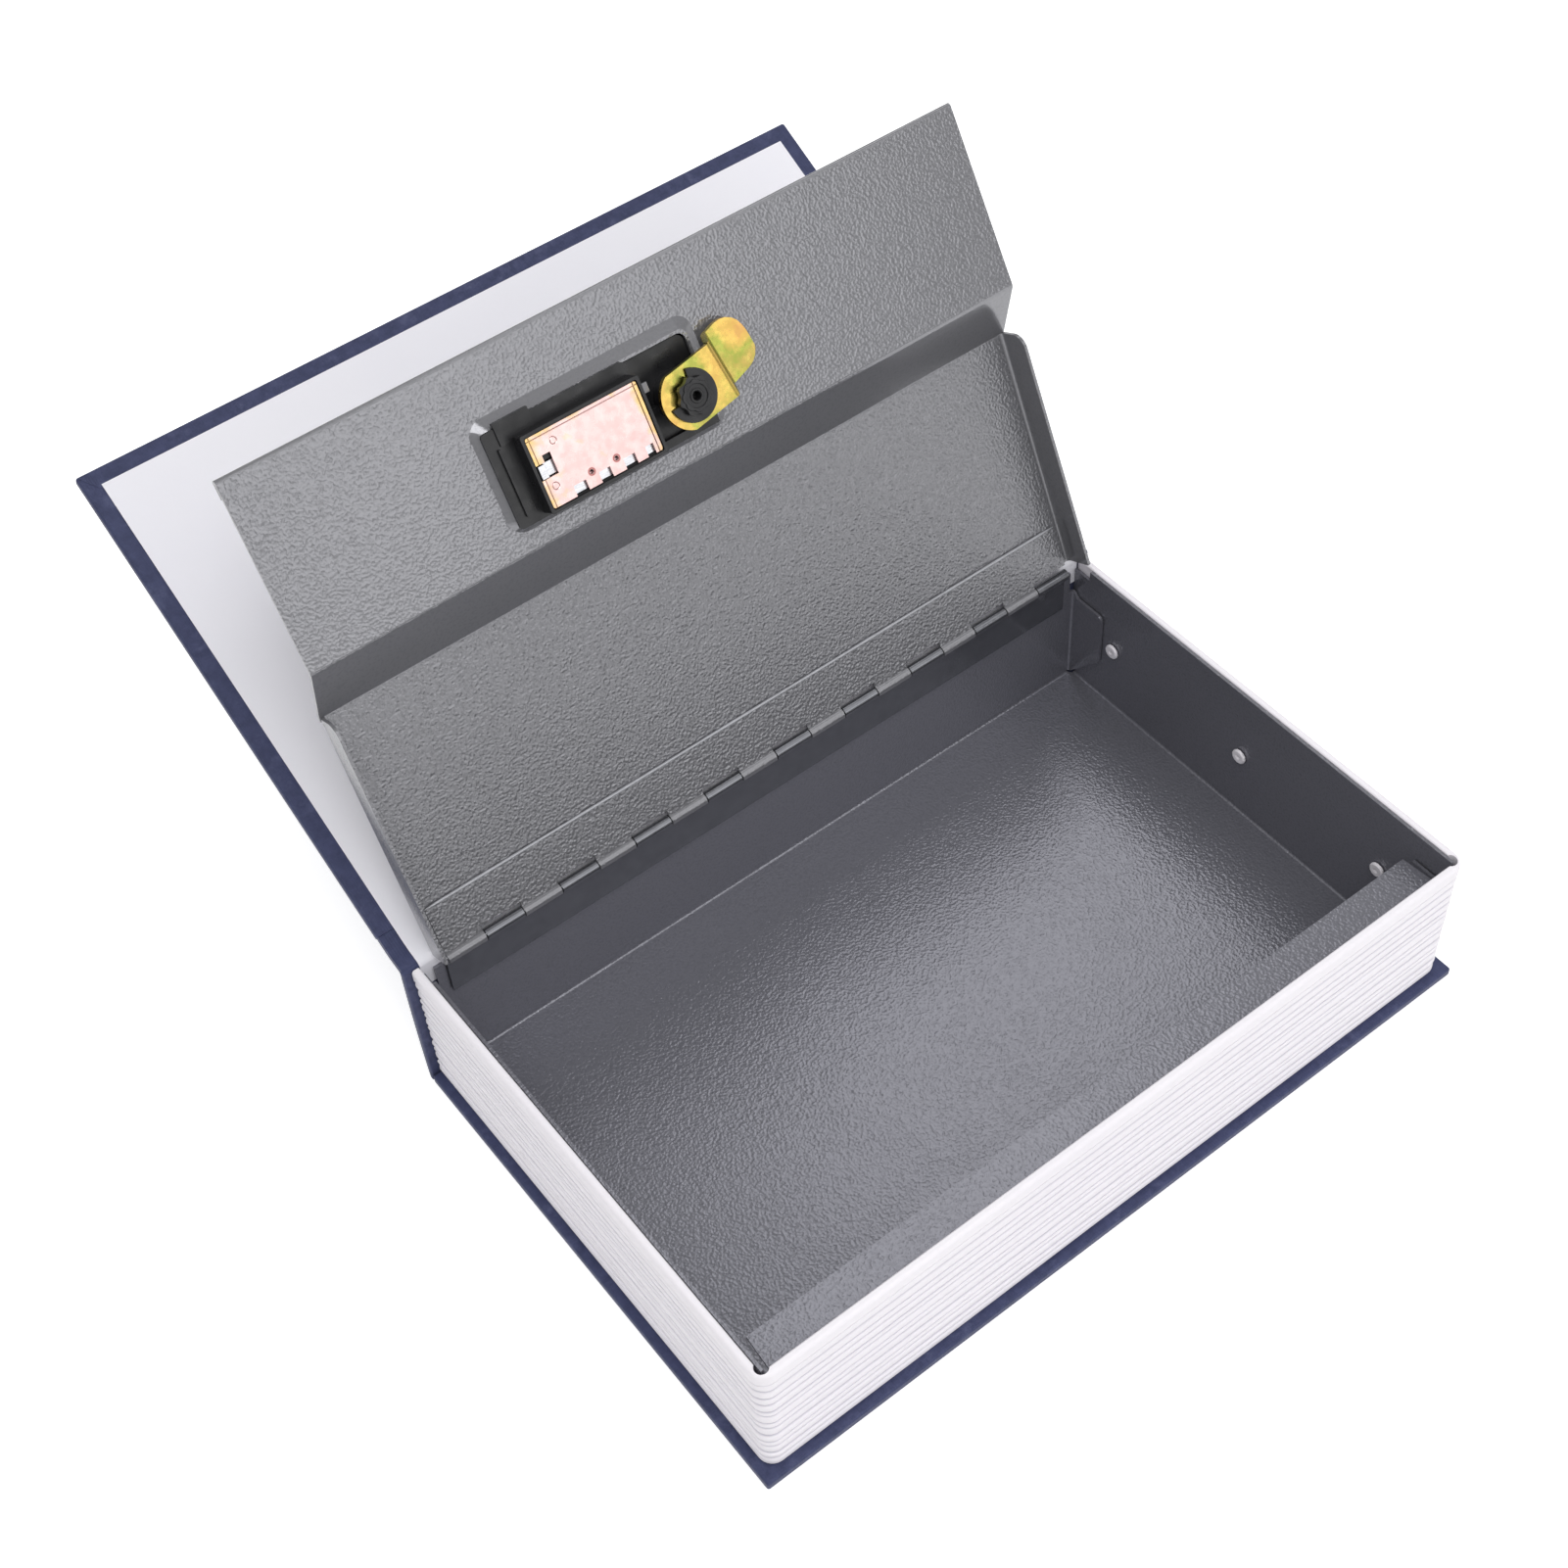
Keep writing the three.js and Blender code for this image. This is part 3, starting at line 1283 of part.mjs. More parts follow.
const safe = new THREE.Group();
safe.add(bottomBoard(), spine(), pageBlock(), steelTray(), studs());
safe.add(boxHingeLeaf(), hingePin(), lid(), cover());

export default safe;
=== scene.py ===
import json
import math

import bmesh
import bpy
from mathutils import Matrix, Vector


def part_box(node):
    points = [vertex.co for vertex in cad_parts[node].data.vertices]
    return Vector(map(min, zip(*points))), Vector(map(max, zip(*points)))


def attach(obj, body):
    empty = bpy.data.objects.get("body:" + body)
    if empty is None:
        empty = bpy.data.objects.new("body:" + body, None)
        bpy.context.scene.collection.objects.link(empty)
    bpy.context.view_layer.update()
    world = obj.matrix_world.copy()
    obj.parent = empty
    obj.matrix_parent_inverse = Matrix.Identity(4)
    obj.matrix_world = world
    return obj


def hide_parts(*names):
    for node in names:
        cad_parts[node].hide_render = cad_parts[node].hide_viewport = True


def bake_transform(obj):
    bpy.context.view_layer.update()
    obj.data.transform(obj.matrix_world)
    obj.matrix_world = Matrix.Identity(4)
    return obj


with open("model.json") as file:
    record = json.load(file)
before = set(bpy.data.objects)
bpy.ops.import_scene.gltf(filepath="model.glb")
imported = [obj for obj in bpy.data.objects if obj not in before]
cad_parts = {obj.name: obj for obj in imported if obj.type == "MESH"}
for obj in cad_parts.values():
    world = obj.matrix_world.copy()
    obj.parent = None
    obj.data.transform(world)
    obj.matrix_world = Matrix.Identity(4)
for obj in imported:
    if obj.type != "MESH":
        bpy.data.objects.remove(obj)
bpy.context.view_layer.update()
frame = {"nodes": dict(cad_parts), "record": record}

MM = 0.001
nodes = frame["nodes"]

# Camera: place, direction and lens fitted to the photograph's edges.
CAMERA_PLACE = Vector((-0.24274, -0.28634, 0.559913))
CAMERA_AZIMUTH = math.radians(-34.413)
CAMERA_ELEVATION = math.radians(50.346)
CAMERA_ROLL = math.radians(-4.310)
CAMERA_LENS = 55.40
CAMERA_SENSOR = 36
CAMERA_NEAR = 10 * MM

# Lamps: name, place, what it points at, size of its panel and power in watts.
LAMPS = (
    ("key", (-0.36, -0.42, 1.36), (0, 0, 0.05), (0.8, 0.8), 7.6),
    ("front", (0.34, -1.08, 0.68), (0, 0.1, 0.13), (0.75, 0.6), 2.1),
    ("ceiling", (0.45, -0.55, 1.25), (0, 0, 0.05), (0.9, 0.8), 2.0),
    ("top", (0.48, 0.50, 1.0), (0, 0, 0), (0.42, 0.6), 1.0),
)

# World and floor. Mirrors see white up to the horizon's top, which is the height of a unit ray,
# and fade from there to the world's plain light.
WORLD_STRENGTH = 0.5
HORIZON_TOP = 0.03
HORIZON_FADE = 0.03
FLOOR_REACH = 3.0
FLOOR_DROP = 0.2 * MM
FLOOR_WHITE = 0.92
FLOOR_ROUGHNESS = 0.9
FLOOR_GLOW = 0.55

# Finishes. Most of a noise texture's values lie in this span.
NOISE_LOW = 0.3
NOISE_HIGH = 0.7

# Powder coat: on the tray and the lid, how far apart the pebbles lie and how high they stand.
TRAY_PAINT = (129, 129, 137)
TRAY_GRAIN = 0.74 * MM
TRAY_PEBBLE = 0.14 * MM
LID_PAINT = (137, 137, 141)
LID_GRAIN = 0.76 * MM
LID_PEBBLE = 0.17 * MM
FINE_SHARE = 0.12

# How squarely a face of the lid looks the flat panel's way, from 0 to 1. Below the first span
# the pebbles are faint, above the second they are strongest, and the tilted lock section lies
# between the two.
STEEP_FACING = (0.93, 0.99)
STEEP_STRENGTH = 0.12
LEVEL_FACING = (0.9965, 0.9995)
LEVEL_STRENGTH = 2.0

# Above this height only the tray's lip faces up. It is shaded as if it fell away a little to the
# right and to the rear.
LIP_LEVEL = 40 * MM
LIP_SLOPE_X = 0.08
LIP_SLOPE_Y = 0.06

# Sizes of the cloth case that the frame's own boxes don't give.
JOINT_WIDTH = 9 * MM
JOINT_THICKNESS = 2.4 * MM
JOINT_RIPPLE = 0.05 * MM
JOINT_COLUMNS = 60
JOINT_SIDE_GAP = 0.3 * MM
RIPPLE_LENGTH = 22 * MM
CLOTH_EDGE = 0.8 * MM
CLOTH_CORNER = 0.7 * MM
TURN_IN_WIDTH = 13 * MM
TURN_IN_THICKNESS = 0.16 * MM
TURN_IN_LAP = 0.1 * MM
TURN_IN_INSET = CLOTH_EDGE * 0.9
TURN_IN_END_GAP = 0.2 * MM
TURN_IN_FORE_GAP = 0.3 * MM
MITRE_SWELL = 0.77 * MM
SPINE_TOP = 50.8 * MM
SPINE_BULGE = 0.5 * MM
SPINE_END_ROUND = 0.6 * MM
SPINE_FOOT_FRONT = 0.4 * MM
SPINE_FOOT_BACK = 0.6 * MM
SPINE_HEEL_INSET = 0.1 * MM
SPINE_HEEL_RISE = 0.5 * MM

# The endpaper: its size, and how far out on the cover it comes to lie flat.
PAPER_THICKNESS = 0.25 * MM
PAPER_BORDER = 5 * MM
PAPER_RIPPLE = 0.04 * MM
PAPER_COLUMNS = 48
PAPER_LANDING = 5.2 * MM
PAPER_GAP = 0.3 * MM

# The page block: its wall, its ribs from the bottom up, the grooves between them and where the
# grooves' shade starts and ends, and the round reliefs in its inner corners.
PAGE_WALL = 2.3 * MM
PAGE_CORNER = 4.5 * MM
PAGE_BAND = 4.6 * MM
PAGE_TOP_RADIUS = 1.1 * MM
PAGE_INNER_ROUND = 0.3 * MM
PAGE_WANDER = 0.2 * MM
RIB_DEPTH = 1.15 * MM
RIB_DEPTH_LOSS = 0.16
RIB_LEAN = 0.12
RIB_FLANK = 0.25
RIB_SQUARENESS = 3
RIB_HEIGHT_SHARES = (3.4, 2.4, 3.8, 2.0, 3.0, 4.0, 2.2, 3.6, 2.0, 3.4, 2.8, 3.8, 3.2)
GROOVE_WIDTH = 0.5 * MM
GROOVE_SHADE_FROM = 0.35 * MM
GROOVE_SHADE_TO = 1.1 * MM
SHADE_INSIDE_GAP = 0.6 * MM
SHADE_TOP_GAP = 0.4 * MM
RELIEF_RADIUS = 1.9 * MM
RELIEF_OVERRUN = 10 * MM

# The lock's own frame on the closed lid. In that frame: the bright plate, its holes as (x, y) and
# its stamped rings as (x, y, radius), and the turn shaft.
LOCK_PLACE = (0, -90.7 * MM, -10.65 * MM)
LOCK_TILT = math.radians(-5)
PLATE_LEFT = -40 * MM
PLATE_RIGHT = -6.9 * MM
PLATE_FAR = -28.1 * MM
PLATE_TOP = -8 * MM
PLATE_HOLES = ((-27 * MM, -13.1 * MM), (-19.5 * MM, -13.1 * MM))
PLATE_RIM_RADIUS = 0.85 * MM
PLATE_RIM_WIDTH = 0.7 * MM
PLATE_MARK_WIDTH = 0.34 * MM
PLATE_FAR_INSET = 1.6 * MM
PLATE_FOLD_FAR = 0.95 * MM
PLATE_FOLD_LEFT = 0.9 * MM
PLATE_FOLD_RIGHT = 1.0 * MM
GOLD_EDGE = (3.4 * MM, 0.2 * MM)
STAMPED_RINGS = ((-33.1 * MM, -24.7 * MM, 0.9 * MM), (-37.1 * MM, -14.3 * MM, 0.9 * MM))
TURN_AXIS = (5.05 * MM, -18.5 * MM)
CROWN_LEVEL = -12.7 * MM
CROWN_SINK = 0.2 * MM
CROWN_ROUND = 0.12 * MM
CROWN_LOBES = 8
CROWN_TURN = 0.7

# The raised rings on the shaft's head: inner and outer radius, depth of the lobes and height.
CROWN_RINGS = (
    ("shaft_ring", 3.0 * MM, 3.7 * MM, 0.5 * MM, 0.35 * MM),
    ("shaft_boss", 1.25 * MM, 1.9 * MM, 0, 0.3 * MM),
)

# The bead of paint along the lid's hinge leaf, in the closed lid's frame.
BEAD_RADIUS = 0.42 * MM
BEAD_LEVEL = -0.35 * MM
BEAD_OVERHANG = 0.1 * MM
BEAD_WAVE = 7 * MM

# Two ends of an edge count as level, and two points as one, within these distances. Faces that
# differ by less than the flat angle become one, and edges above the soft angle are rounded.
LEVEL_TOLERANCE = 0.01 * MM
WELD_DISTANCE = 0.002 * MM
FLAT_ANGLE = math.radians(0.6)
SOFT_ANGLE = math.radians(28)


def make_camera():
    az, el, roll = CAMERA_AZIMUTH, CAMERA_ELEVATION, CAMERA_ROLL
    forward = -Vector((math.sin(az) * math.cos(el), -math.cos(az) * math.cos(el), math.sin(el)))
    level_right = forward.cross(Vector((0, 0, 1))).normalized()
    level_up = level_right.cross(forward)
    right = math.cos(roll) * level_right + math.sin(roll) * level_up
    up = -math.sin(roll) * level_right + math.cos(roll) * level_up
    turn = Matrix((right, up, -forward)).transposed().to_4x4()
    data = bpy.data.cameras.new("camera")
    data.lens = CAMERA_LENS
    data.sensor_width = CAMERA_SENSOR
    data.clip_start = CAMERA_NEAR
    camera = bpy.data.objects.new("camera", data)
    camera.matrix_world = Matrix.Translation(CAMERA_PLACE) @ turn
    bpy.context.scene.collection.objects.link(camera)
    bpy.context.scene.camera = camera


class Finish:
    """A material under construction: a Principled shader and helpers that add procedural detail."""

    def __init__(self, name, colour, roughness, metallic=0.0):
        self.material = bpy.data.materials.new(name)
        self.material.use_nodes = True
        self.tree = self.material.node_tree
        self.shader = self.tree.nodes["Principled BSDF"]
        self.set("Base Color", (*colour, 1))
        self.set("Roughness", roughness)
        self.set("Metallic", metallic)
        self.place = self.node("ShaderNodeTexCoord").outputs["Object"]

    def node(self, kind, **values):
        made = self.tree.nodes.new(kind)
        for key, value in values.items():
            setattr(made, key, value)
        return made

    def link(self, source, target):
        self.tree.links.new(source, target)

    def set(self, socket, value):
        self.shader.inputs[socket].default_value = value

    def stretched(self, scale):
        mapping = self.node("ShaderNodeMapping")
        mapping.inputs["Scale"].default_value = scale
        self.link(self.place, mapping.inputs["Vector"])
        return mapping.outputs["Vector"]

    def placed(self, matrix):
        """The coordinates of a point in the frame that the matrix carries to its place."""
        mapping = self.node("ShaderNodeMapping", vector_type="TEXTURE")
        mapping.inputs["Location"].default_value = matrix.to_translation()
        mapping.inputs["Rotation"].default_value = matrix.to_euler("XYZ")
        self.link(self.place, mapping.inputs["Vector"])
        return mapping.outputs["Vector"]

    def axis(self, letter, vector=None):
        parts = self.node("ShaderNodeSeparateXYZ")
        self.link(vector or self.place, parts.inputs["Vector"])
        return parts.outputs[letter]

    def distance(self, vector, spot):
        away = self.node("ShaderNodeVectorMath", operation="DISTANCE")
        away.inputs[1].default_value = spot
        self.link(vector, away.inputs[0])
        return away.outputs["Value"]

    def facing(self, direction):
        """How far the surface faces along or against the direction, in the piece's own frame."""
        along = self.node("ShaderNodeVectorMath", operation="DOT_PRODUCT")
        along.inputs[1].default_value = direction
        self.link(self.node("ShaderNodeTexCoord").outputs["Normal"], along.inputs[0])
        return self.calc("ABSOLUTE", along.outputs["Value"])

    def calc(self, operation, *values):
        """A Math node on sockets or numbers."""
        made = self.node("ShaderNodeMath", operation=operation)
        for socket, value in zip(made.inputs, values):
            if isinstance(value, (int, float)):
                socket.default_value = value
            else:
                self.link(value, socket)
        return made.outputs["Value"]

    def span(self, value, low, high, at_low=0.0, at_high=1.0):
        """The value's way from low to high, as numbers from at_low to at_high."""
        mapped = self.node("ShaderNodeMapRange")
        numbers = (low, high, at_low, at_high)
        for key, number in zip(("From Min", "From Max", "To Min", "To Max"), numbers):
            mapped.inputs[key].default_value = number
        self.link(value, mapped.inputs["Value"])
        return mapped.outputs["Result"]

    def varied(self, noise, at_low, at_high):
        """A noise spread from one number to the other."""
        return self.span(noise, NOISE_LOW, NOISE_HIGH, at_low, at_high)

    def line(self, value, level, width):
        """One where the value is at the level, falling to nought half the width to either side."""
        off = self.calc("ABSOLUTE", self.calc("SUBTRACT", value, level))
        return self.span(off, width / 2, 0)

    def ring(self, vector, spot, radius, width):
        """One on a circle round the spot, falling to nought half the width to either side."""
        return self.line(self.distance(vector, spot), radius, width)

    def noise(self, scale, detail=2.0, roughness=0.5, vector=None, distortion=0.0):
        texture = self.node("ShaderNodeTexNoise")
        texture.inputs["Scale"].default_value = scale
        texture.inputs["Detail"].default_value = detail
        texture.inputs["Roughness"].default_value = roughness
        texture.inputs["Distortion"].default_value = distortion
        self.link(vector or self.place, texture.inputs["Vector"])
        return texture.outputs["Fac"]

    def waves(self, scale, direction, distortion, detail_scale):
        texture = self.node("ShaderNodeTexWave", bands_direction=direction)
        texture.inputs["Scale"].default_value = scale
        texture.inputs["Distortion"].default_value = distortion
        texture.inputs["Detail Scale"].default_value = detail_scale
        self.link(self.place, texture.inputs["Vector"])
        return texture.outputs["Fac"]

    def blend(self, factor, first, second):
        mixed = self.node("ShaderNodeMix", data_type="RGBA")
        self.link(factor, mixed.inputs["Factor"])
        for socket, value in zip((mixed.inputs[6], mixed.inputs[7]), (first, second)):
            if isinstance(value, tuple):
                socket.default_value = (*value, 1)
            else:
                self.link(value, socket)
        return mixed.outputs[2]

    def ramp(self, factor, stops):
        ramp = self.node("ShaderNodeValToRGB")
        elements = ramp.color_ramp.elements
        while len(elements) < len(stops):
            elements.new(0.5)
        for element, (place, colour) in zip(elements, stops):
            element.position = place
            element.color = (*colour, 1)
        self.link(factor, ramp.inputs["Fac"])
        return ramp.outputs["Color"]

    def colour(self, value):
        self.link(value, self.shader.inputs["Base Color"])

    def roughness(self, value):
        self.link(value, self.shader.inputs["Roughness"])

    def bump(self, height, distance):
        bump = self.node("ShaderNodeBump")
        bump.inputs["Strength"].default_value = 1
        bump.inputs["Distance"].default_value = distance
        self.link(height, bump.inputs["Height"])
        self.link(bump.outputs["Normal"], self.shader.inputs["Normal"])


def srgb(red, green, blue):
    """A colour written as it looks on a screen, 0 to 255, as linear light."""
    shares = [value / 255 for value in (red, green, blue)]
    return tuple(((s + 0.055) / 1.055) ** 2.4 if s > 0.04045 else s / 12.92 for s in shares)


def powder_coat(name, colour, grain, pebble, flat=None, lip=False):
    """Glossy metallic paint with rounded pebbles about a grain apart.

    With a flat direction given, the pebbles fade on faces that look elsewhere. With the lip, what
    lies above the lip's level is shaded as if it sloped."""
    finish = Finish(name, srgb(*colour), roughness=0.22, metallic=0.5)
    pebbles = finish.noise(scale=1 / grain, detail=0.6, roughness=0.4, distortion=0.12)
    fine = finish.noise(scale=4 / grain, detail=2)
    height = finish.calc("ADD", pebbles, finish.calc("MULTIPLY", fine, FINE_SHARE))
    strength = finish.varied(finish.noise(scale=14, detail=3), at_low=0.75, at_high=1.1)
    if flat:
        facing = finish.facing(flat)
        off_steep = finish.span(facing, *STEEP_FACING, at_low=STEEP_STRENGTH)
        on_level = finish.span(facing, *LEVEL_FACING, at_low=1, at_high=LEVEL_STRENGTH)
        strength = finish.calc("MULTIPLY", strength, off_steep)
        strength = finish.calc("MULTIPLY", strength, on_level)
    height = finish.calc("MULTIPLY", height, strength)
    if lip:
        lean_x = finish.calc("MULTIPLY", finish.axis("X"), -LIP_SLOPE_X / pebble)
        lean_y = finish.calc("MULTIPLY", finish.axis("Y"), -LIP_SLOPE_Y / pebble)
        above = finish.calc("GREATER_THAN", finish.axis("Z"), LIP_LEVEL)
        lean = finish.calc("MULTIPLY", finish.calc("ADD", lean_x, lean_y), above)
        height = finish.calc("ADD", height, lean)
    finish.bump(height, pebble)
    light = tuple(c * 1.05 for c in srgb(*colour))
    dark = tuple(c * 0.94 for c in srgb(*colour))
    clouded = finish.blend(finish.noise(scale=9, detail=3), dark, light)
    # Painted shade: the pebbles' hollows are darkened towards near black.
    hollow_shade = finish.span(pebbles, 0.32, 0.5, at_low=0.09, at_high=0)
    finish.colour(finish.blend(hollow_shade, clouded, srgb(40, 41, 45)))
    finish.roughness(finish.varied(pebbles, at_low=0.19, at_high=0.13))
    return finish.material


def barrel_coat():
    """The same paint over the rolled hinge, drawn out smooth and shiny."""
    finish = Finish("barrel_coat", srgb(120, 121, 126), roughness=0.14, metallic=0.8)
    cloud = finish.noise(scale=300, detail=3)
    finish.colour(finish.blend(cloud, srgb(108, 109, 114), srgb(130, 131, 136)))
    finish.bump(finish.noise(scale=700, detail=2), 0.02 * MM)
    finish.roughness(finish.varied(finish.noise(scale=260, detail=3), at_low=0.1, at_high=0.2))
    return finish.material


def bead_painted_highlight():
    """Paint built up into a rounded bead, its pale colour a painted highlight."""
    # Painted highlight: the bead is coloured far paler than the lid's paint.
    finish = Finish("bead_painted_highlight", srgb(176, 177, 182), roughness=0.3, metallic=0.3)
    cloud = finish.noise(scale=400, detail=3)
    finish.colour(finish.blend(cloud, srgb(156, 157, 162), srgb(190, 191, 196)))
    finish.bump(finish.noise(scale=600, detail=2), 0.03 * MM)
    return finish.material


def navy_cloth():
    """Woven bookcloth: dark navy with a fine weave, paler threads and rubbed patches."""
    finish = Finish("navy_cloth", srgb(54, 60, 94), roughness=0.68)
    warp, weft = (
        finish.waves(scale=420, direction=way, distortion=1.2, detail_scale=2) for way in ("X", "Y")
    )
    weave = finish.calc("MULTIPLY", finish.calc("ADD", warp, weft), 0.16)
    mottle = finish.noise(scale=330, detail=4, roughness=0.7)
    scuff = finish.span(finish.noise(scale=90, detail=6, roughness=0.7), 0.52, 0.7)
    speck = finish.calc("MULTIPLY", scuff, finish.span(mottle, 0.42, 0.66))
    cloudy = finish.blend(finish.span(mottle, 0.35, 0.65), srgb(47, 53, 87), srgb(60, 66, 102))
    finish.colour(finish.blend(speck, cloudy, srgb(82, 87, 120)))
    finish.bump(finish.calc("ADD", weave, mottle), 0.11 * MM)
    finish.set("Sheen Weight", 0.12)
    finish.set("Sheen Roughness", 0.4)
    return finish.material


def moulded_white(name):
    """White plastic's finish, and its faintly uneven colour."""
    finish = Finish(name, srgb(244, 241, 246), roughness=0.42)
    cloud = finish.noise(scale=14, detail=3)
    finish.bump(finish.noise(scale=1500, detail=3), 0.03 * MM)
    return finish, finish.blend(cloud, srgb(241, 237, 244), srgb(247, 244, 248))


def white_plastic():
    finish, face = moulded_white("white_plastic")
    finish.colour(face)
    return finish.material


def page_plastic():
    """White plastic with painted shade that makes it greyer deep in the grooves between the ribs.
    """
    finish, face = moulded_white("page_plastic")
    low, high = (Vector(corner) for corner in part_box("page_block"))
    from_middle = finish.calc("ABSOLUTE", finish.axis("X"))
    past_side = finish.calc("SUBTRACT", from_middle, high.x - PAGE_CORNER)
    past_front = finish.calc("SUBTRACT", low.y + PAGE_CORNER, finish.axis("Y"))
    squares = [
        finish.calc("POWER", finish.calc("MAXIMUM", past, 0), 2) for past in (past_side, past_front)
    ]
    past_corner = finish.calc("POWER", finish.calc("ADD", *squares), 0.5)
    depth = finish.calc("SUBTRACT", PAGE_CORNER, past_corner)
    deep = finish.span(depth, GROOVE_SHADE_FROM, GROOVE_SHADE_TO)
    outside = finish.calc("LESS_THAN", depth, PAGE_WALL - SHADE_INSIDE_GAP)
    ribbed = finish.calc("LESS_THAN", finish.axis("Z"), high.z - PAGE_BAND + SHADE_TOP_GAP)
    groove = finish.calc("MULTIPLY", deep, finish.calc("MULTIPLY", outside, ribbed))
    # Painted shade: deep in the grooves the white is darkened to a violet grey.
    finish.colour(finish.blend(groove, face, srgb(176, 173, 190)))
    return finish.material


def endpaper_white():
    finish = Finish("endpaper_white", srgb(244, 243, 249), roughness=0.6)
    cloud = finish.noise(scale=18, detail=4)
    finish.colour(finish.blend(cloud, srgb(240, 239, 247), srgb(247, 246, 251)))
    fibres, swell = finish.noise(scale=1200, detail=4), finish.noise(scale=60, detail=2)
    finish.bump(finish.calc("ADD", fibres, swell), 0.04 * MM)
    return finish.material


def brushed_noise(finish):
    return finish.noise(scale=500, detail=3, vector=finish.stretched((1, 8, 8)))


def bright_steel():
    finish = Finish("bright_steel", srgb(205, 206, 210), roughness=0.22, metallic=1)
    brushed = brushed_noise(finish)
    finish.roughness(finish.varied(brushed, at_low=0.16, at_high=0.34))
    finish.bump(brushed, 0.01 * MM)
    return finish.material


def dull_steel():
    """Oiled steel inside the lock, greyer than the bright tabs."""
    finish = Finish("dull_steel", srgb(118, 118, 122), roughness=0.35, metallic=1)
    brushed = brushed_noise(finish)
    finish.colour(finish.blend(brushed, srgb(96, 96, 100), srgb(140, 140, 144)))
    finish.roughness(finish.varied(brushed, at_low=0.28, at_high=0.45))
    return finish.material


def black_plastic():
    finish = Finish("black_plastic", srgb(24, 24, 27), roughness=0.34)
    cloud = finish.noise(scale=120, detail=3)
    finish.colour(finish.blend(cloud, srgb(18, 18, 20), srgb(30, 30, 33)))
    finish.bump(finish.noise(scale=2600, detail=2), 0.02 * MM)
    finish.roughness(finish.varied(finish.noise(scale=220, detail=3), at_low=0.26, at_high=0.44))
    return finish.material


def pink_plate():
    """Bright plating: rose in the middle, yellow round the folded edges, with two stamped rings.
    Painted shade darkens the fold lines, the stamped rings and the rims of the holes.
    """
    finish = Finish("pink_plate", srgb(226, 190, 180), roughness=0.2, metallic=1)
    spot = finish.placed(lock_frame())
    x, y = finish.axis("X", spot), finish.axis("Y", spot)
    left = finish.calc("SUBTRACT", x, PLATE_LEFT)
    right = finish.calc("SUBTRACT", PLATE_RIGHT, x)
    far = finish.calc("SUBTRACT", y, PLATE_FAR)
    sides = finish.calc("MINIMUM", left, right)
    inside = finish.calc("MINIMUM", sides, finish.calc("ADD", far, PLATE_FAR_INSET))
    stain = finish.noise(scale=170, detail=2, roughness=0.6, distortion=0.4)
    uneven = finish.varied(stain, at_low=-0.6, at_high=0.45)
    edge = finish.calc("ADD", finish.span(inside, *GOLD_EDGE), uneven)
    rosy = finish.noise(scale=90, detail=2, distortion=0.6)
    rose = finish.blend(rosy, srgb(222, 186, 184), srgb(226, 196, 192))
    golden = finish.noise(scale=160, detail=2)
    gold = finish.blend(golden, srgb(220, 182, 130), srgb(216, 188, 126))
    tint = finish.blend(finish.span(edge, 0.25, 0.95), rose, gold)
    folds = ((far, PLATE_FOLD_FAR), (left, PLATE_FOLD_LEFT), (right, PLATE_FOLD_RIGHT))
    lines = [finish.line(value, inset, PLATE_MARK_WIDTH) for value, inset in folds]
    for mark_x, mark_y, radius in STAMPED_RINGS:
        lines.append(finish.ring(spot, (mark_x, mark_y, PLATE_TOP), radius, PLATE_MARK_WIDTH))
    marks = highest(finish, lines)
    # Painted shade: the fold lines and the stamped rings are darkened towards deep rose.
    tint = finish.blend(finish.calc("MULTIPLY", marks, 0.5), tint, srgb(160, 96, 84))
    rims = highest(finish, [
        finish.ring(spot, (hole_x, hole_y, PLATE_TOP), PLATE_RIM_RADIUS, PLATE_RIM_WIDTH)
        for hole_x, hole_y in PLATE_HOLES
    ])
    # Painted shade: a dark red ring round the rim of each pin hole.
    finish.colour(finish.blend(rims, tint, srgb(140, 62, 58)))
    grain = finish.calc("MULTIPLY", finish.noise(scale=900, detail=3), 0.1)
    finish.bump(finish.calc("SUBTRACT", grain, marks), 0.09 * MM)
    finish.roughness(finish.varied(finish.noise(scale=400, detail=4), at_low=0.2, at_high=0.34))
    return finish.material


def highest(finish, values):
    """The greatest of the values at each point."""
    total = values[0]
    for value in values[1:]:
        total = finish.calc("MAXIMUM", total, value)
    return total


def yellow_zinc():
    """Yellow passivation: gold with broad green and orange clouds and a fine speckle."""
    finish = Finish("yellow_zinc", srgb(222, 190, 108), roughness=0.24, metallic=1)
    cloud = finish.noise(scale=70, detail=1, roughness=0.4, distortion=0.3)
    speckle = finish.varied(finish.noise(scale=900, detail=2), at_low=-0.03, at_high=0.03)
    stops = (
        (0.34, srgb(206, 142, 104)),
        (0.46, srgb(216, 176, 98)),
        (0.56, srgb(210, 182, 98)),
        (0.66, srgb(160, 166, 80)),
        (0.80, srgb(200, 170, 98)),
    )
    finish.colour(finish.ramp(finish.calc("ADD", cloud, speckle), stops))
    finish.bump(finish.noise(scale=1100, detail=3), 0.012 * MM)
    finish.roughness(finish.varied(finish.noise(scale=500, detail=4), at_low=0.2, at_high=0.36))
    return finish.material


def joint_named(name):
    return next(joint for joint in frame["record"]["behaviour"]["joints"] if joint["name"] == name)


def swung_open(name):
    """The matrix that carries a point beside a closed hinge at the origin to the open box."""
    joint = joint_named(name)
    turn = Matrix.Rotation(-math.radians(joint["range_deg"][1]), 4, "X")
    return Matrix.Translation(joint["pos_m"]) @ turn


def lock_frame():
    tilt = Matrix.Rotation(LOCK_TILT, 4, "X")
    return swung_open("lid_hinge") @ Matrix.Translation(LOCK_PLACE) @ tilt


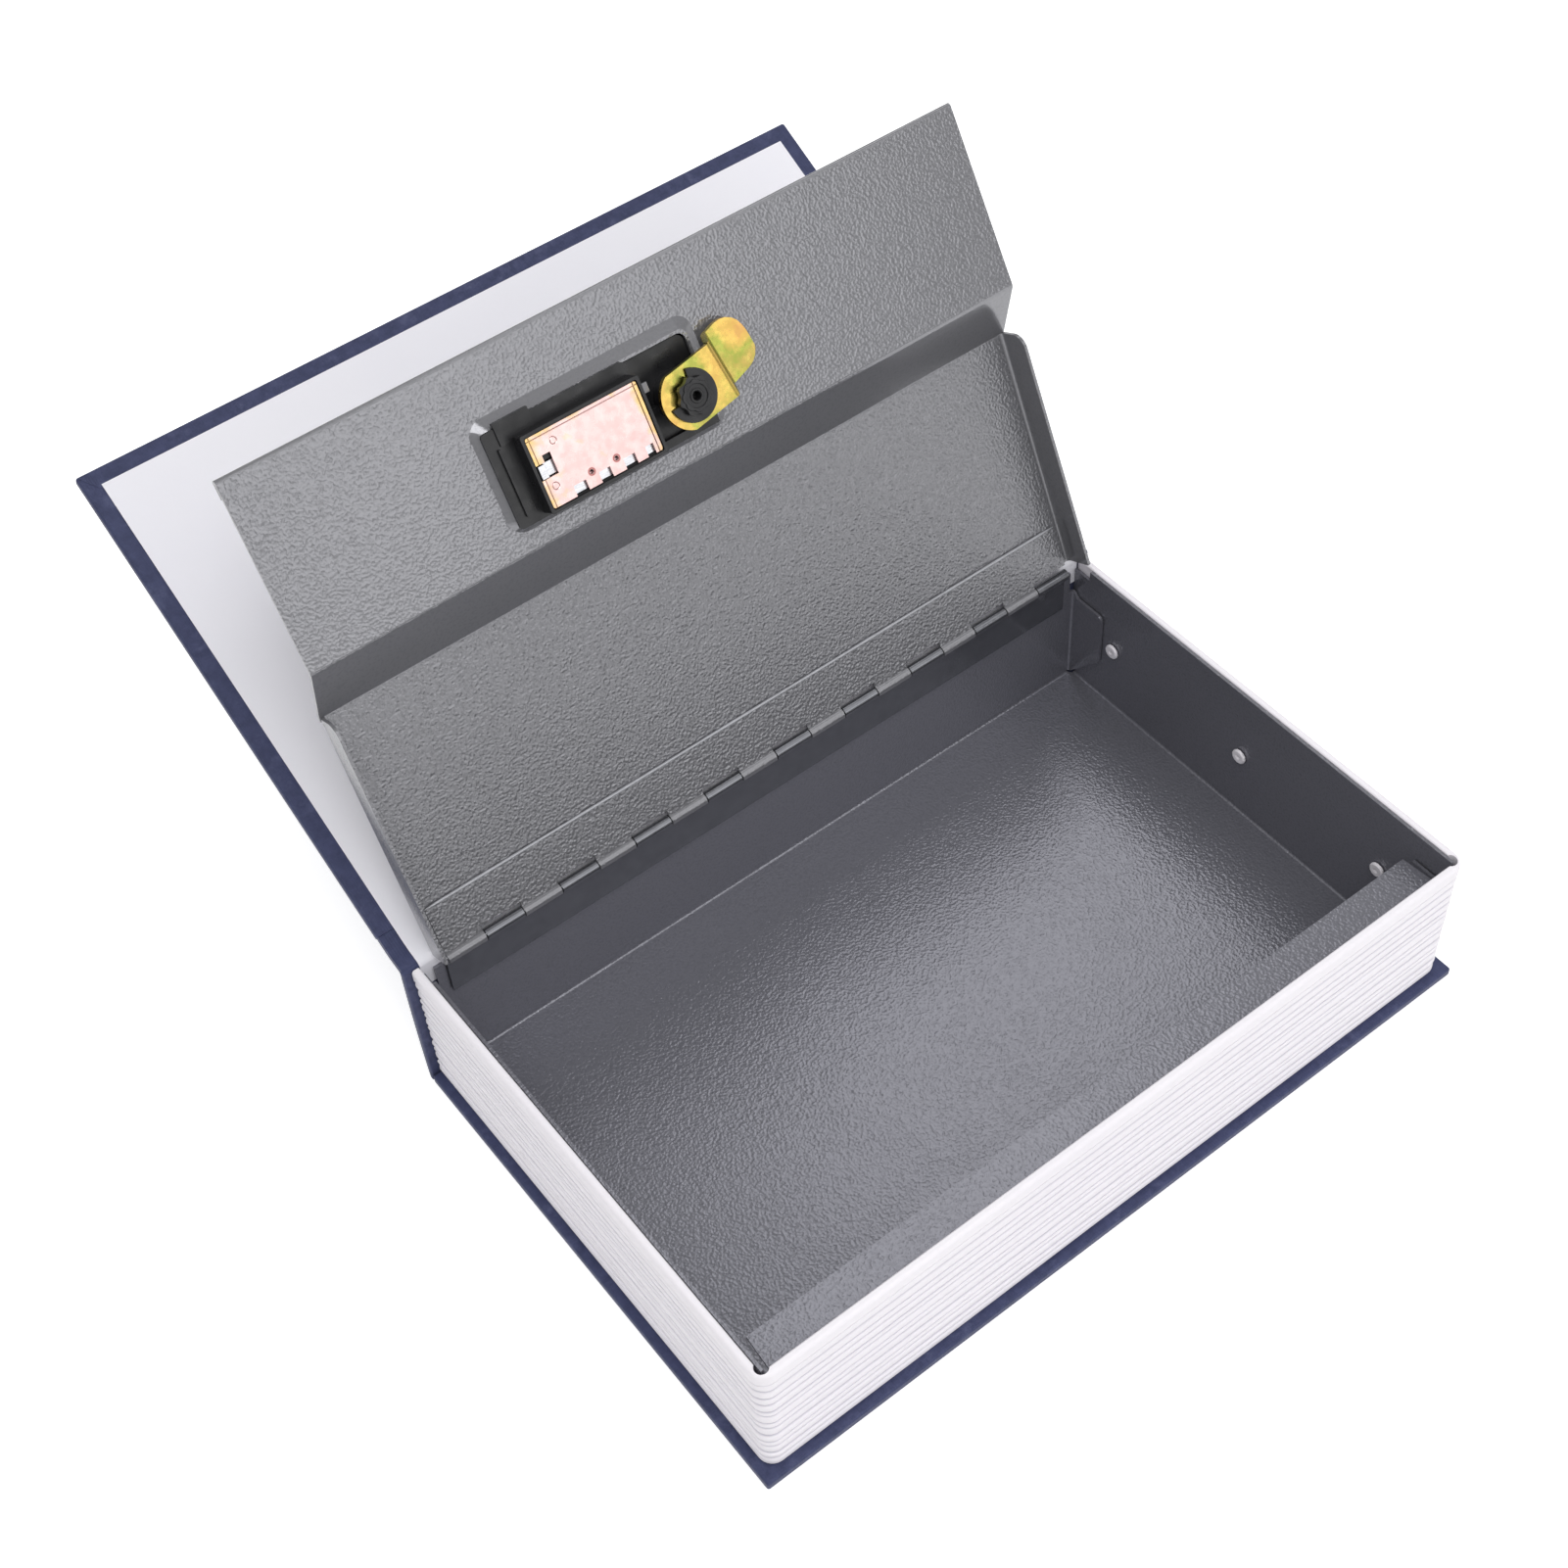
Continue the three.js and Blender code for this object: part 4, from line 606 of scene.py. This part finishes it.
def local_box(node, matrix):
    """The lowest and highest corner of a node in the frame that the matrix carries to its place."""
    inverse = matrix.inverted()
    spots = [inverse @ v.co for v in nodes[node].data.vertices]
    return [Vector(pick(spot[i] for spot in spots) for i in range(3)) for pick in (min, max)]


def body_of(node):
    bodies = frame["record"]["behaviour"]["bodies"]
    return next(body for body, members in bodies.items() if node in members)


def link_object(name, mesh, material, body):
    made = bpy.data.objects.new(name, mesh)
    bpy.context.scene.collection.objects.link(made)
    mesh.materials.append(material)
    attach(made, body)
    return made


def shade(made, angle=40):
    """Smooth shading that keeps large faces flat and edges sharper than the angle crisp."""
    for polygon in made.data.polygons:
        polygon.use_smooth = True
    made.data.set_sharp_from_angle(angle=math.radians(angle))
    weighted = made.modifiers.new("weighted normals", "WEIGHTED_NORMAL")
    weighted.keep_sharp = True
    weighted.mode = "FACE_AREA"


def softened(node, material, width, segments=2):
    """The CAD node's own shape with its edges broken by a small round, standing for the node."""
    mesh = bpy.data.meshes.new(node + "_soft")
    build = bmesh.new()
    build.from_mesh(nodes[node].data)
    bmesh.ops.remove_doubles(build, verts=build.verts, dist=WELD_DISTANCE)
    bmesh.ops.dissolve_limit(build, angle_limit=FLAT_ANGLE, verts=build.verts, edges=build.edges)
    sharp = [e for e in build.edges if e.is_manifold and e.calc_face_angle(0) > SOFT_ANGLE]
    bevel(build, sharp, width, segments, clamp_overlap=True)
    build.to_mesh(mesh)
    build.free()
    mesh.materials.clear()
    made = link_object(node + "_body", mesh, material, body_of(node))
    shade(made)
    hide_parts(node)


def bevel(build, edges, width, segments, clamp_overlap=False):
    bmesh.ops.bevel(
        build,
        geom=edges,
        offset=width,
        offset_type="OFFSET",
        segments=segments,
        profile=0.5,
        affect="EDGES",
        clamp_overlap=clamp_overlap,
    )


def mesh_from(name, vertices, faces):
    """A mesh of the points and faces, with its faces turned outwards."""
    mesh = bpy.data.meshes.new(name)
    mesh.from_pydata([tuple(v) for v in vertices], [], faces)
    build = bmesh.new()
    build.from_mesh(mesh)
    bmesh.ops.recalc_face_normals(build, faces=build.faces)
    build.to_mesh(mesh)
    build.free()
    return mesh


def band(first, second, count):
    """The faces that join two rings of points, given by the number of each ring's first point."""
    pairs = [(k, (k + 1) % count) for k in range(count)]
    return [(first + a, first + b, second + b, second + a) for a, b in pairs]


def end_caps(count, last):
    """The faces that close a row of rings of the count's size, the last of which starts at last."""
    return [tuple(range(count))[::-1], tuple(range(last, last + count))]


def wave_of(value, seed):
    """A smooth wander between about -1 and 1, different for each seed."""
    return 0.6 * math.sin(value + 2.1 * seed) + 0.4 * math.sin(2.7 * value + 1.3 * seed + 0.8)


def rounded_slab(name, low, high, matrix):
    """A board with rounded plan corners and softened rims, carried to its place by the matrix."""
    build = bmesh.new()
    outline = []
    corner_steps = 4
    for i in range(4):
        centre_x = (high.x - CLOTH_CORNER) if i in (0, 3) else (low.x + CLOTH_CORNER)
        centre_y = (high.y - CLOTH_CORNER) if i in (0, 1) else (low.y + CLOTH_CORNER)
        for k in range(corner_steps + 1):
            angle = math.pi / 2 * (i + k / corner_steps)
            x = centre_x + CLOTH_CORNER * math.cos(angle)
            outline.append((x, centre_y + CLOTH_CORNER * math.sin(angle)))
    bottom = build.faces.new([build.verts.new((x, y, low.z)) for x, y in outline])
    top = bmesh.ops.extrude_face_region(build, geom=[bottom])
    raised = [v for v in top["geom"] if isinstance(v, bmesh.types.BMVert)]
    bmesh.ops.translate(build, verts=raised, vec=(0, 0, high.z - low.z))
    bmesh.ops.recalc_face_normals(build, faces=build.faces)
    rims = [e for e in build.edges if abs(e.verts[0].co.z - e.verts[1].co.z) < LEVEL_TOLERANCE]
    bevel(build, rims, CLOTH_EDGE, segments=4, clamp_overlap=True)
    build.transform(matrix)
    mesh = bpy.data.meshes.new(name)
    build.to_mesh(mesh)
    build.free()
    return mesh


def smooth_path(points, steps):
    """A curve through the points, with the given number of steps between neighbours."""
    ends = [2 * points[0] - points[1], *points, 2 * points[-1] - points[-2]]
    path = []
    for a, b, c, d in zip(ends, ends[1:], ends[2:], ends[3:]):
        square, cube = 2 * a - 5 * b + 4 * c - d, 3 * b - a - 3 * c + d
        for k in range(steps):
            t = k / steps
            path.append(0.5 * (2 * b + (c - a) * t + square * t**2 + cube * t**3))
    return [*path, points[-1]]


def swept_sheet(name, path, thickness, half_width, columns, ripple):
    """A thin closed sheet whose section follows a path of (y, z) and which runs along X."""
    across = len(path)
    vertices = []
    for side in (0.5, -0.5):
        for column in range(columns + 1):
            x = half_width * (2 * column / columns - 1)
            for i, spot in enumerate(path):
                before, after = path[max(i - 1, 0)], path[min(i + 1, across - 1)]
                along = (after - before).normalized()
                swell = ripple * wave_of(x / RIPPLE_LENGTH + i / 7, i % 3 * 0.1)
                lift = thickness * side + swell
                vertices.append((x, spot.x - along.y * lift, spot.y + along.x * lift))
    layer = across * (columns + 1)
    faces = []
    for column in range(columns):
        for i in range(across - 1):
            a = column * across + i
            faces.append((a, a + across, a + across + 1, a + 1))
            faces.append((layer + a, layer + a + 1, layer + a + across + 1, layer + a + across))
    rim = list(range(across)) + [column * across + across - 1 for column in range(1, columns + 1)]
    rim += [columns * across + i for i in range(across - 2, -1, -1)]
    rim += [column * across for column in range(columns - 1, 0, -1)]
    for a, b in zip(rim, rim[1:] + rim[:1]):
        faces.append((a, b, layer + b, layer + a))
    return mesh_from(name, vertices, faces)


def blended(name, mesh, material):
    """A cloth or paper piece, curved in its open shape from the case to the cover, with its place
    baked into its points.
    """
    made = bpy.data.objects.new(name, mesh)
    bpy.context.scene.collection.objects.link(made)
    mesh.materials.append(material)
    shade(made)
    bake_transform(made)
    return made


def bottom_board(cloth):
    low, high = (Vector(corner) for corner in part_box("bottom_board"))
    mesh = rounded_slab("bottom_cloth", low, high, Matrix())
    made = link_object("bottom_cloth", mesh, cloth, "case")
    shade(made)
    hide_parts("bottom_board")


def spine(cloth):
    """The cloth-covered spine: a strip with a slightly bowed back and a round top."""
    low, high = (Vector(corner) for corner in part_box("spine"))
    back = high.y - SPINE_BULGE
    radius = (back - low.y) / 2
    section = [
        Vector((low.y + SPINE_FOOT_FRONT, low.z)),
        Vector((back - SPINE_FOOT_BACK, low.z)),
        Vector((back - SPINE_HEEL_INSET, low.z + SPINE_HEEL_RISE)),
    ]
    back_steps, top_steps = 12, 8
    for k in range(1, back_steps):
        z = (SPINE_TOP - radius) * k / back_steps
        section.append(Vector((back + SPINE_BULGE * math.sin(math.pi * z / SPINE_TOP), z)))
    for k in range(top_steps + 1):
        angle = math.pi * k / top_steps
        y = low.y + radius + radius * math.cos(angle)
        section.append(Vector((y, SPINE_TOP - radius + radius * math.sin(angle))))
    section.append(Vector((low.y, low.z + SPINE_FOOT_FRONT)))
    count = len(section)
    vertices = [(x, spot.x, spot.y) for x in (low.x, high.x) for spot in section]
    mesh = mesh_from("spine_cloth", vertices, band(0, count, count) + end_caps(count, count))
    build = bmesh.new()
    build.from_mesh(mesh)
    ends = [e for e in build.edges if abs(e.verts[0].co.x - e.verts[1].co.x) < LEVEL_TOLERANCE]
    bevel(build, ends, SPINE_END_ROUND, segments=3)
    build.to_mesh(mesh)
    build.free()
    made = link_object("spine_cloth", mesh, cloth, "case")
    shade(made)
    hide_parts("spine")


def cover_spot(out, rise):
    """Where a point of the open cover lies, as (y, z).

    Out is its distance from the hinge and rise its height, both with the cover shut."""
    spot = swung_open("cover_hinge") @ Vector((0, -out, rise))
    return Vector((spot.y, spot.z))


def cover(cloth, paper):
    """The front cover: its cloth-covered board, the cloth folded over, the joint and the lining."""
    to_place = swung_open("cover_hinge")
    low, high = local_box("cover_board", to_place)
    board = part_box("bottom_board")
    inner = high.z - (board[1][2] - board[0][2])
    near, far = Vector((low.x, low.y, inner)), Vector((high.x, -JOINT_WIDTH, high.z))
    mesh = rounded_slab("cover_cloth", near, far, to_place)
    made = link_object("cover_cloth", mesh, cloth, "cover")
    shade(made)
    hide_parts("cover_board")
    turn_ins(cloth, to_place, low, high, inner)
    cloth_joint(cloth, high, inner)
    paper_sheet(paper, low, high, inner)


def turn_ins(cloth, to_place, low, high, inner):
    """The cloth folded over the board's edges, mitred at the two free corners."""
    fore = low.y + TURN_IN_INSET
    deep = low.y + TURN_IN_WIDTH
    end = -JOINT_WIDTH - TURN_IN_END_GAP
    top = inner + TURN_IN_LAP
    for side, label in ((-1, "left"), (1, "right")):
        x = side * (high.x - TURN_IN_INSET)
        inside = side * (high.x - TURN_IN_WIDTH)
        strip = [(x, fore + TURN_IN_FORE_GAP), (inside, deep), (inside, end), (x, end)]
        plate(f"turn_in_{label}", strip, inner - TURN_IN_THICKNESS, top, to_place, cloth)
    mitre = []
    steps = 10
    for k in range(steps + 1):
        t = k / steps
        swell = MITRE_SWELL * math.sin(math.pi * t)
        x = high.x - TURN_IN_INSET - (TURN_IN_WIDTH - TURN_IN_INSET) * t
        mitre.append((x + swell, fore + (deep - fore) * t + swell))
    outline = mitre + [(-x, y) for x, y in reversed(mitre)]
    plate("turn_in_fore", outline, inner - 2 * TURN_IN_THICKNESS, top, to_place, cloth)


def plate(name, outline, bottom, top, to_place, material):
    """A thin flat plate with the given outline, riding on the cover."""
    count = len(outline)
    vertices = [to_place @ Vector((x, y, z)) for z in (bottom, top) for x, y in outline]
    mesh = mesh_from(name, vertices, band(0, count, count) + end_caps(count, count))
    link_object(name, mesh, material, "cover")


def cloth_joint(cloth, high, inner):
    """The lined bookcloth that crosses from the spine's top to the cover board."""
    spine_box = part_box("spine")
    front, back = spine_box[0][1], spine_box[1][1]
    middle = (front + back) / 2
    rise = (high.z + inner) / 2
    over_spine = ((0, -5), (0, -2.2), (0.8, -0.8), (2.7, -0.2), (5.3, 0.5))
    past_joint = (-2.5, 0.5, 2)
    spots = [Vector((middle + y * MM, SPINE_TOP + z * MM)) for y, z in over_spine]
    spots += [cover_spot(JOINT_WIDTH + out * MM, rise) for out in past_joint]
    path = smooth_path(spots, steps=6)
    half = high.x - JOINT_SIDE_GAP
    mesh = swept_sheet("cloth_joint", path, JOINT_THICKNESS, half, JOINT_COLUMNS, JOINT_RIPPLE)
    blended("cloth_joint", mesh, cloth)


def paper_sheet(paper, low, high, inner):
    """The endpaper: one sheet from behind the tray's back wall, over the joint, up the cover."""
    spine_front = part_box("spine")[0][1]
    hinge = Vector(joint_named("cover_hinge")["pos_m"])
    level = inner - 2 * TURN_IN_THICKNESS - PAPER_THICKNESS
    slot = spine_front - PAPER_GAP
    behind_tray = ((0, -9), (0, -2), (0.2, -0.2), (1.2, 0.8))
    over_hinge = ((0.6, 1.4), (2.4, 1.9))
    spots = [Vector((slot + y * MM, SPINE_TOP + z * MM)) for y, z in behind_tray]
    spots += [Vector((hinge.y + y * MM, SPINE_TOP + z * MM)) for y, z in over_hinge]
    spots.append(cover_spot(PAPER_LANDING, level))
    path = smooth_path(spots, steps=5)
    run = -low.y - PAPER_BORDER - PAPER_LANDING
    steps = 24
    path += [cover_spot(PAPER_LANDING + run * k / steps, level) for k in range(1, steps + 1)]
    half = high.x - PAPER_BORDER
    mesh = swept_sheet("endpaper_sheet", path, PAPER_THICKNESS, half, PAPER_COLUMNS, PAPER_RIPPLE)
    made = blended("endpaper_sheet", mesh, paper)
    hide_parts("endpaper")


def leaf_bead(paint):
    """The bead of paint along the free edge of the lid's hinge leaf."""
    to_place = swung_open("lid_hinge")
    low, high = local_box("lid_hinge_leaf", to_place)
    middle = low.y - BEAD_OVERHANG
    rounds, steps = 12, 90
    vertices = []
    for i in range(steps + 1):
        x = low.x + (high.x - low.x) * i / steps
        taper = min(1, (steps / 2 - abs(i - steps / 2)) / 2 + 0.2)
        radius = BEAD_RADIUS * taper * (1 + 0.1 * wave_of(x / BEAD_WAVE, 4))
        for k in range(rounds):
            angle = 2 * math.pi * k / rounds
            y, z = middle + radius * math.cos(angle), BEAD_LEVEL + radius * math.sin(angle)
            vertices.append(to_place @ Vector((x, y, z)))
    faces = [face for i in range(steps) for face in band(i * rounds, (i + 1) * rounds, rounds)]
    mesh = mesh_from("leaf_bead", vertices, faces + end_caps(rounds, steps * rounds))
    shade(link_object("leaf_bead", mesh, paint, "lid"), angle=60)


def lobed_ring(name, inside, outside, lobe, rise, material):
    """A raised ring, plain or with eight shallow lobes, on the turn shaft's head."""
    to_place = lock_frame()
    low, high = CROWN_LEVEL + CROWN_SINK, CROWN_LEVEL - rise
    section = [
        (inside, low),
        (inside, high + CROWN_ROUND),
        (inside + CROWN_ROUND, high),
        (outside - CROWN_ROUND, high),
        (outside, high + CROWN_ROUND),
        (outside, low),
    ]
    rounds, size = 96, len(section)
    vertices = []
    for i in range(rounds):
        angle = 2 * math.pi * i / rounds
        for radius, level in section:
            bulge = lobe * abs(math.sin(CROWN_LOBES / 2 * angle + CROWN_TURN))
            reach = radius + (bulge if radius > (inside + outside) / 2 else 0)
            x, y = TURN_AXIS[0] + reach * math.cos(angle), TURN_AXIS[1] + reach * math.sin(angle)
            vertices.append(to_place @ Vector((x, y, level)))
    starts = [(i * size, (i + 1) % rounds * size) for i in range(rounds)]
    faces = [face for first, second in starts for face in band(first, second, size)]
    mesh = mesh_from(name, vertices, faces)
    shade(link_object(name, mesh, material, "cam_assembly"), angle=30)


def page_section(height):
    """The page block's section: distance out, height, and the number of the groove it lies at.

    Between two grooves the number has a share of both, so that a rib follows both its grooves."""
    rib_top = height - PAGE_BAND
    unit = rib_top / sum(RIB_HEIGHT_SHARES)
    groove = PAGE_WALL - RIB_DEPTH
    last = len(RIB_HEIGHT_SHARES)
    section = [(0, 0, 0)]
    z = 0
    rib_steps, top_steps = 8, 6
    for number, share in enumerate(RIB_HEIGHT_SHARES):
        rib = unit * share
        face = RIB_DEPTH * (1 - RIB_DEPTH_LOSS * (1 + wave_of(number * 2.3, 1)) / 2)
        lean = RIB_LEAN * RIB_DEPTH * wave_of(number * 1.7, 2)
        section.append((groove, z, number))
        for k in range(rib_steps + 1):
            t = k / rib_steps
            crown = RIB_FLANK + (1 - RIB_FLANK) * (1 - abs(2 * t - 1) ** RIB_SQUARENESS) ** 0.5
            out = min(groove + (face + lean * (2 * t - 1)) * crown, PAGE_WALL)
            section.append((out, z + GROOVE_WIDTH / 2 + (rib - GROOVE_WIDTH) * t, number + t))
        z += rib
    section.append((groove, rib_top, last))
    section.append((groove + 0.7 * RIB_DEPTH, rib_top + 0.15 * RIB_DEPTH, last))
    section.append((PAGE_WALL, rib_top + 0.5 * RIB_DEPTH, last))
    for k in range(top_steps + 1):
        angle = math.pi / 2 * k / top_steps
        out = PAGE_WALL - PAGE_TOP_RADIUS + PAGE_TOP_RADIUS * math.cos(angle)
        top = height - PAGE_TOP_RADIUS + PAGE_TOP_RADIUS * math.sin(angle)
        section.append((out, top, None))
    section.append((PAGE_INNER_ROUND, height, None))
    section.append((0, height - PAGE_INNER_ROUND, None))
    return section


def page_stations(low, high):
    """Places along the block's plan, from one rear end round to the other: centre and angle."""
    x, y = high.x - PAGE_CORNER, low.y + PAGE_CORNER
    side_steps, corner_steps, front_steps = 24, 8, 40
    quarter = math.pi / 2
    run = high.y - y
    stations = [(-x, high.y - run * k / side_steps, math.pi) for k in range(side_steps)]
    stations += [(-x, y, math.pi + quarter * k / corner_steps) for k in range(corner_steps)]
    stations += [(-x + 2 * x * k / front_steps, y, 3 * quarter) for k in range(front_steps)]
    stations += [(x, y, quarter * (3 + k / corner_steps)) for k in range(corner_steps)]
    stations += [(x, y + run * k / side_steps, 2 * math.pi) for k in range(side_steps + 1)]
    return stations


def groove_wander(groove, station):
    """How far up or down a groove, or the part of a rib between two grooves, strays here."""
    if not groove:
        return 0
    below = math.floor(groove)
    share = groove - below
    strays = [wave_of(station / 7, number) for number in (below, below + 1)]
    return ((1 - share) * strays[0] + share * strays[1]) * PAGE_WANDER


def page_block(plastic):
    """The moulded page block: a wall ribbed like the edges of pages, with corner reliefs."""
    low, high = (Vector(corner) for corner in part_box("page_block"))
    section = page_section(high.z - low.z)
    stations = page_stations(low, high)
    inner = PAGE_CORNER - PAGE_WALL
    size, count = len(section), len(stations)
    vertices = []
    for i, (x, y, angle) in enumerate(stations):
        for out, z, groove in section:
            reach = inner + out
            level = low.z + z + groove_wander(groove, i)
            vertices.append((x + reach * math.cos(angle), y + reach * math.sin(angle), level))
    faces = [face for i in range(count - 1) for face in band(i * size, (i + 1) * size, size)]
    mesh = mesh_from("page_ribs", vertices, faces + end_caps(size, (count - 1) * size))
    made = link_object("page_ribs", mesh, plastic, "case")
    relief_x = high.x - PAGE_WALL - RELIEF_RADIUS / 2
    relief_y = low.y + PAGE_WALL + RELIEF_RADIUS / 2
    for side in (-1, 1):
        place = (side * relief_x, relief_y, high.z / 2)
        bore(made, place, RELIEF_RADIUS, high.z + RELIEF_OVERRUN)
    shade(made, angle=35)
    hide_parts("page_block")


def bore(made, place, radius, depth):
    """Cuts a round vertical hole through a piece."""
    cutter_mesh = bpy.data.meshes.new("cutter")
    build = bmesh.new()
    bmesh.ops.create_cone(
        build,
        cap_ends=True,
        segments=32,
        radius1=radius,
        radius2=radius,
        depth=depth,
        matrix=Matrix.Translation(place),
    )
    build.to_mesh(cutter_mesh)
    build.free()
    cutter = bpy.data.objects.new("cutter", cutter_mesh)
    bpy.context.scene.collection.objects.link(cutter)
    cut = made.modifiers.new("relief", "BOOLEAN")
    cut.operation = "DIFFERENCE"
    cut.solver = "EXACT"
    cut.object = cutter
    graph = bpy.context.evaluated_depsgraph_get()
    graph.update()
    result = bpy.data.meshes.new_from_object(made.evaluated_get(graph))
    made.modifiers.remove(cut)
    made.data = result
    bpy.data.objects.remove(cutter)


def seen_directly(tree, mirrored=None):
    """One for what the camera sees, straight or through glass, and zero for light on the object.

    For mirrored rays it is one too, or the value of the socket that is given."""
    rays = tree.nodes.new("ShaderNodeLightPath")
    glossy = rays.outputs["Is Glossy Ray"]
    if mirrored is not None:
        glossy = shader_math(tree, "MULTIPLY", glossy, mirrored)
    seen = shader_math(
        tree, "MAXIMUM", rays.outputs["Is Camera Ray"], rays.outputs["Is Transmission Ray"]
    )
    return shader_math(tree, "MAXIMUM", seen, glossy)


def shader_math(tree, operation, first, second):
    made = tree.nodes.new("ShaderNodeMath")
    made.operation = operation
    tree.links.new(first, made.inputs[0])
    tree.links.new(second, made.inputs[1])
    return made.outputs["Value"]


def make_stage():
    """A pale matt floor that glows white to the camera and keeps the object's shadow."""
    floor_mesh = bpy.data.meshes.new("floor")
    signs = ((-1, -1), (1, -1), (1, 1), (-1, 1))
    corners = [(x * FLOOR_REACH, y * FLOOR_REACH, 0) for x, y in signs]
    floor_mesh.from_pydata(corners, [], [(0, 1, 2, 3)])
    floor = bpy.data.objects.new("floor", floor_mesh)
    floor.location.z = -FLOOR_DROP
    bpy.context.scene.collection.objects.link(floor)
    material = bpy.data.materials.new("floor_white")
    material.use_nodes = True
    tree = material.node_tree
    shader = tree.nodes["Principled BSDF"]
    shader.inputs["Base Color"].default_value = (FLOOR_WHITE, FLOOR_WHITE, FLOOR_WHITE, 1)
    shader.inputs["Roughness"].default_value = FLOOR_ROUGHNESS
    shader.inputs["Emission Color"].default_value = (1, 1, 1, 1)
    glow = tree.nodes.new("ShaderNodeMath")
    glow.operation = "MULTIPLY"
    glow.inputs[1].default_value = FLOOR_GLOW
    tree.links.new(seen_directly(tree), glow.inputs[0])
    tree.links.new(glow.outputs["Value"], shader.inputs["Emission Strength"])
    floor_mesh.materials.append(material)


def make_world():
    """White to the camera, white round the horizon to reflections, and a plain light elsewhere."""
    world = bpy.data.worlds.new("studio")
    bpy.context.scene.world = world
    world.use_nodes = True
    tree = world.node_tree
    background = tree.nodes["Background"]
    background.inputs["Color"].default_value = (1, 1, 1, 1)
    direction = tree.nodes.new("ShaderNodeTexCoord")
    parts = tree.nodes.new("ShaderNodeSeparateXYZ")
    tree.links.new(direction.outputs["Generated"], parts.inputs["Vector"])
    low = tree.nodes.new("ShaderNodeMapRange")
    low.inputs["From Min"].default_value = HORIZON_TOP + HORIZON_FADE
    low.inputs["From Max"].default_value = HORIZON_TOP
    tree.links.new(parts.outputs["Z"], low.inputs["Value"])
    strength = tree.nodes.new("ShaderNodeMapRange")
    strength.inputs["To Min"].default_value = WORLD_STRENGTH
    strength.inputs["To Max"].default_value = 1
    tree.links.new(seen_directly(tree, low.outputs["Result"]), strength.inputs["Value"])
    tree.links.new(strength.outputs["Result"], background.inputs["Strength"])


def make_lamps():
    for name, place, target, size, power in LAMPS:
        data = bpy.data.lights.new(name, "AREA")
        data.shape = "RECTANGLE"
        data.size, data.size_y = size
        data.energy = power
        lamp = bpy.data.objects.new(name, data)
        lamp.location = place
        lamp.rotation_mode = "QUATERNION"
        lamp.rotation_quaternion = (Vector(target) - Vector(place)).to_track_quat("-Z", "Y")
        lamp.visible_camera = False
        bpy.context.scene.collection.objects.link(lamp)


def dress():
    """Every piece of the safe with its finish, from the case up to the lock."""
    tray_coat = powder_coat("tray_powder_coat", TRAY_PAINT, TRAY_GRAIN, TRAY_PEBBLE, lip=True)
    lid_flat = swung_open("lid_hinge").to_3x3() @ Vector((0, 0, 1))
    lid_coat = powder_coat("lid_powder_coat", LID_PAINT, LID_GRAIN, LID_PEBBLE, flat=lid_flat)
    cloth = navy_cloth()
    plastic = white_plastic()
    black = black_plastic()
    steel = bright_steel()
    bottom_board(cloth)
    spine(cloth)
    cover(cloth, endpaper_white())
    page_block(page_plastic())
    softened("steel_tray", tray_coat, width=0.15 * MM)
    softened("lid_panel", lid_coat, width=0.2 * MM)
    softened("box_hinge_leaf", barrel_coat(), width=0.12 * MM)
    softened("lid_hinge_leaf", lid_coat, width=0.12 * MM)
    leaf_bead(bead_painted_highlight())
    softened("hinge_pin", steel, width=0.05 * MM, segments=1)
    for side in ("left", "right"):
        for number in (1, 2, 3):
            softened(f"stud_{side}_{number}", plastic, width=0.1 * MM)
    for node in ("lock_housing", "escutcheon", "turn_shaft", "turn_knob", "cam_retainer"):
        softened(node, black, width=0.12 * MM)
    for number in (1, 2, 3):
        softened(f"number_wheel_{number}", black, width=0.08 * MM, segments=1)
    for name, inside, outside, lobe, rise in CROWN_RINGS:
        lobed_ring(name, inside, outside, lobe, rise, black)
    softened("lock_plate", pink_plate(), width=0.08 * MM)
    softened("cam", yellow_zinc(), width=0.15 * MM)
    for node in ("reset_lever", "detent_spring", "wheel_shaft"):
        softened(node, steel, width=0.05 * MM, segments=1)
    softened("locking_bar", dull_steel(), width=0.05 * MM, segments=1)


make_camera()
make_stage()
make_world()
make_lamps()
dress()

bpy.context.scene.view_settings.view_transform = "Standard"
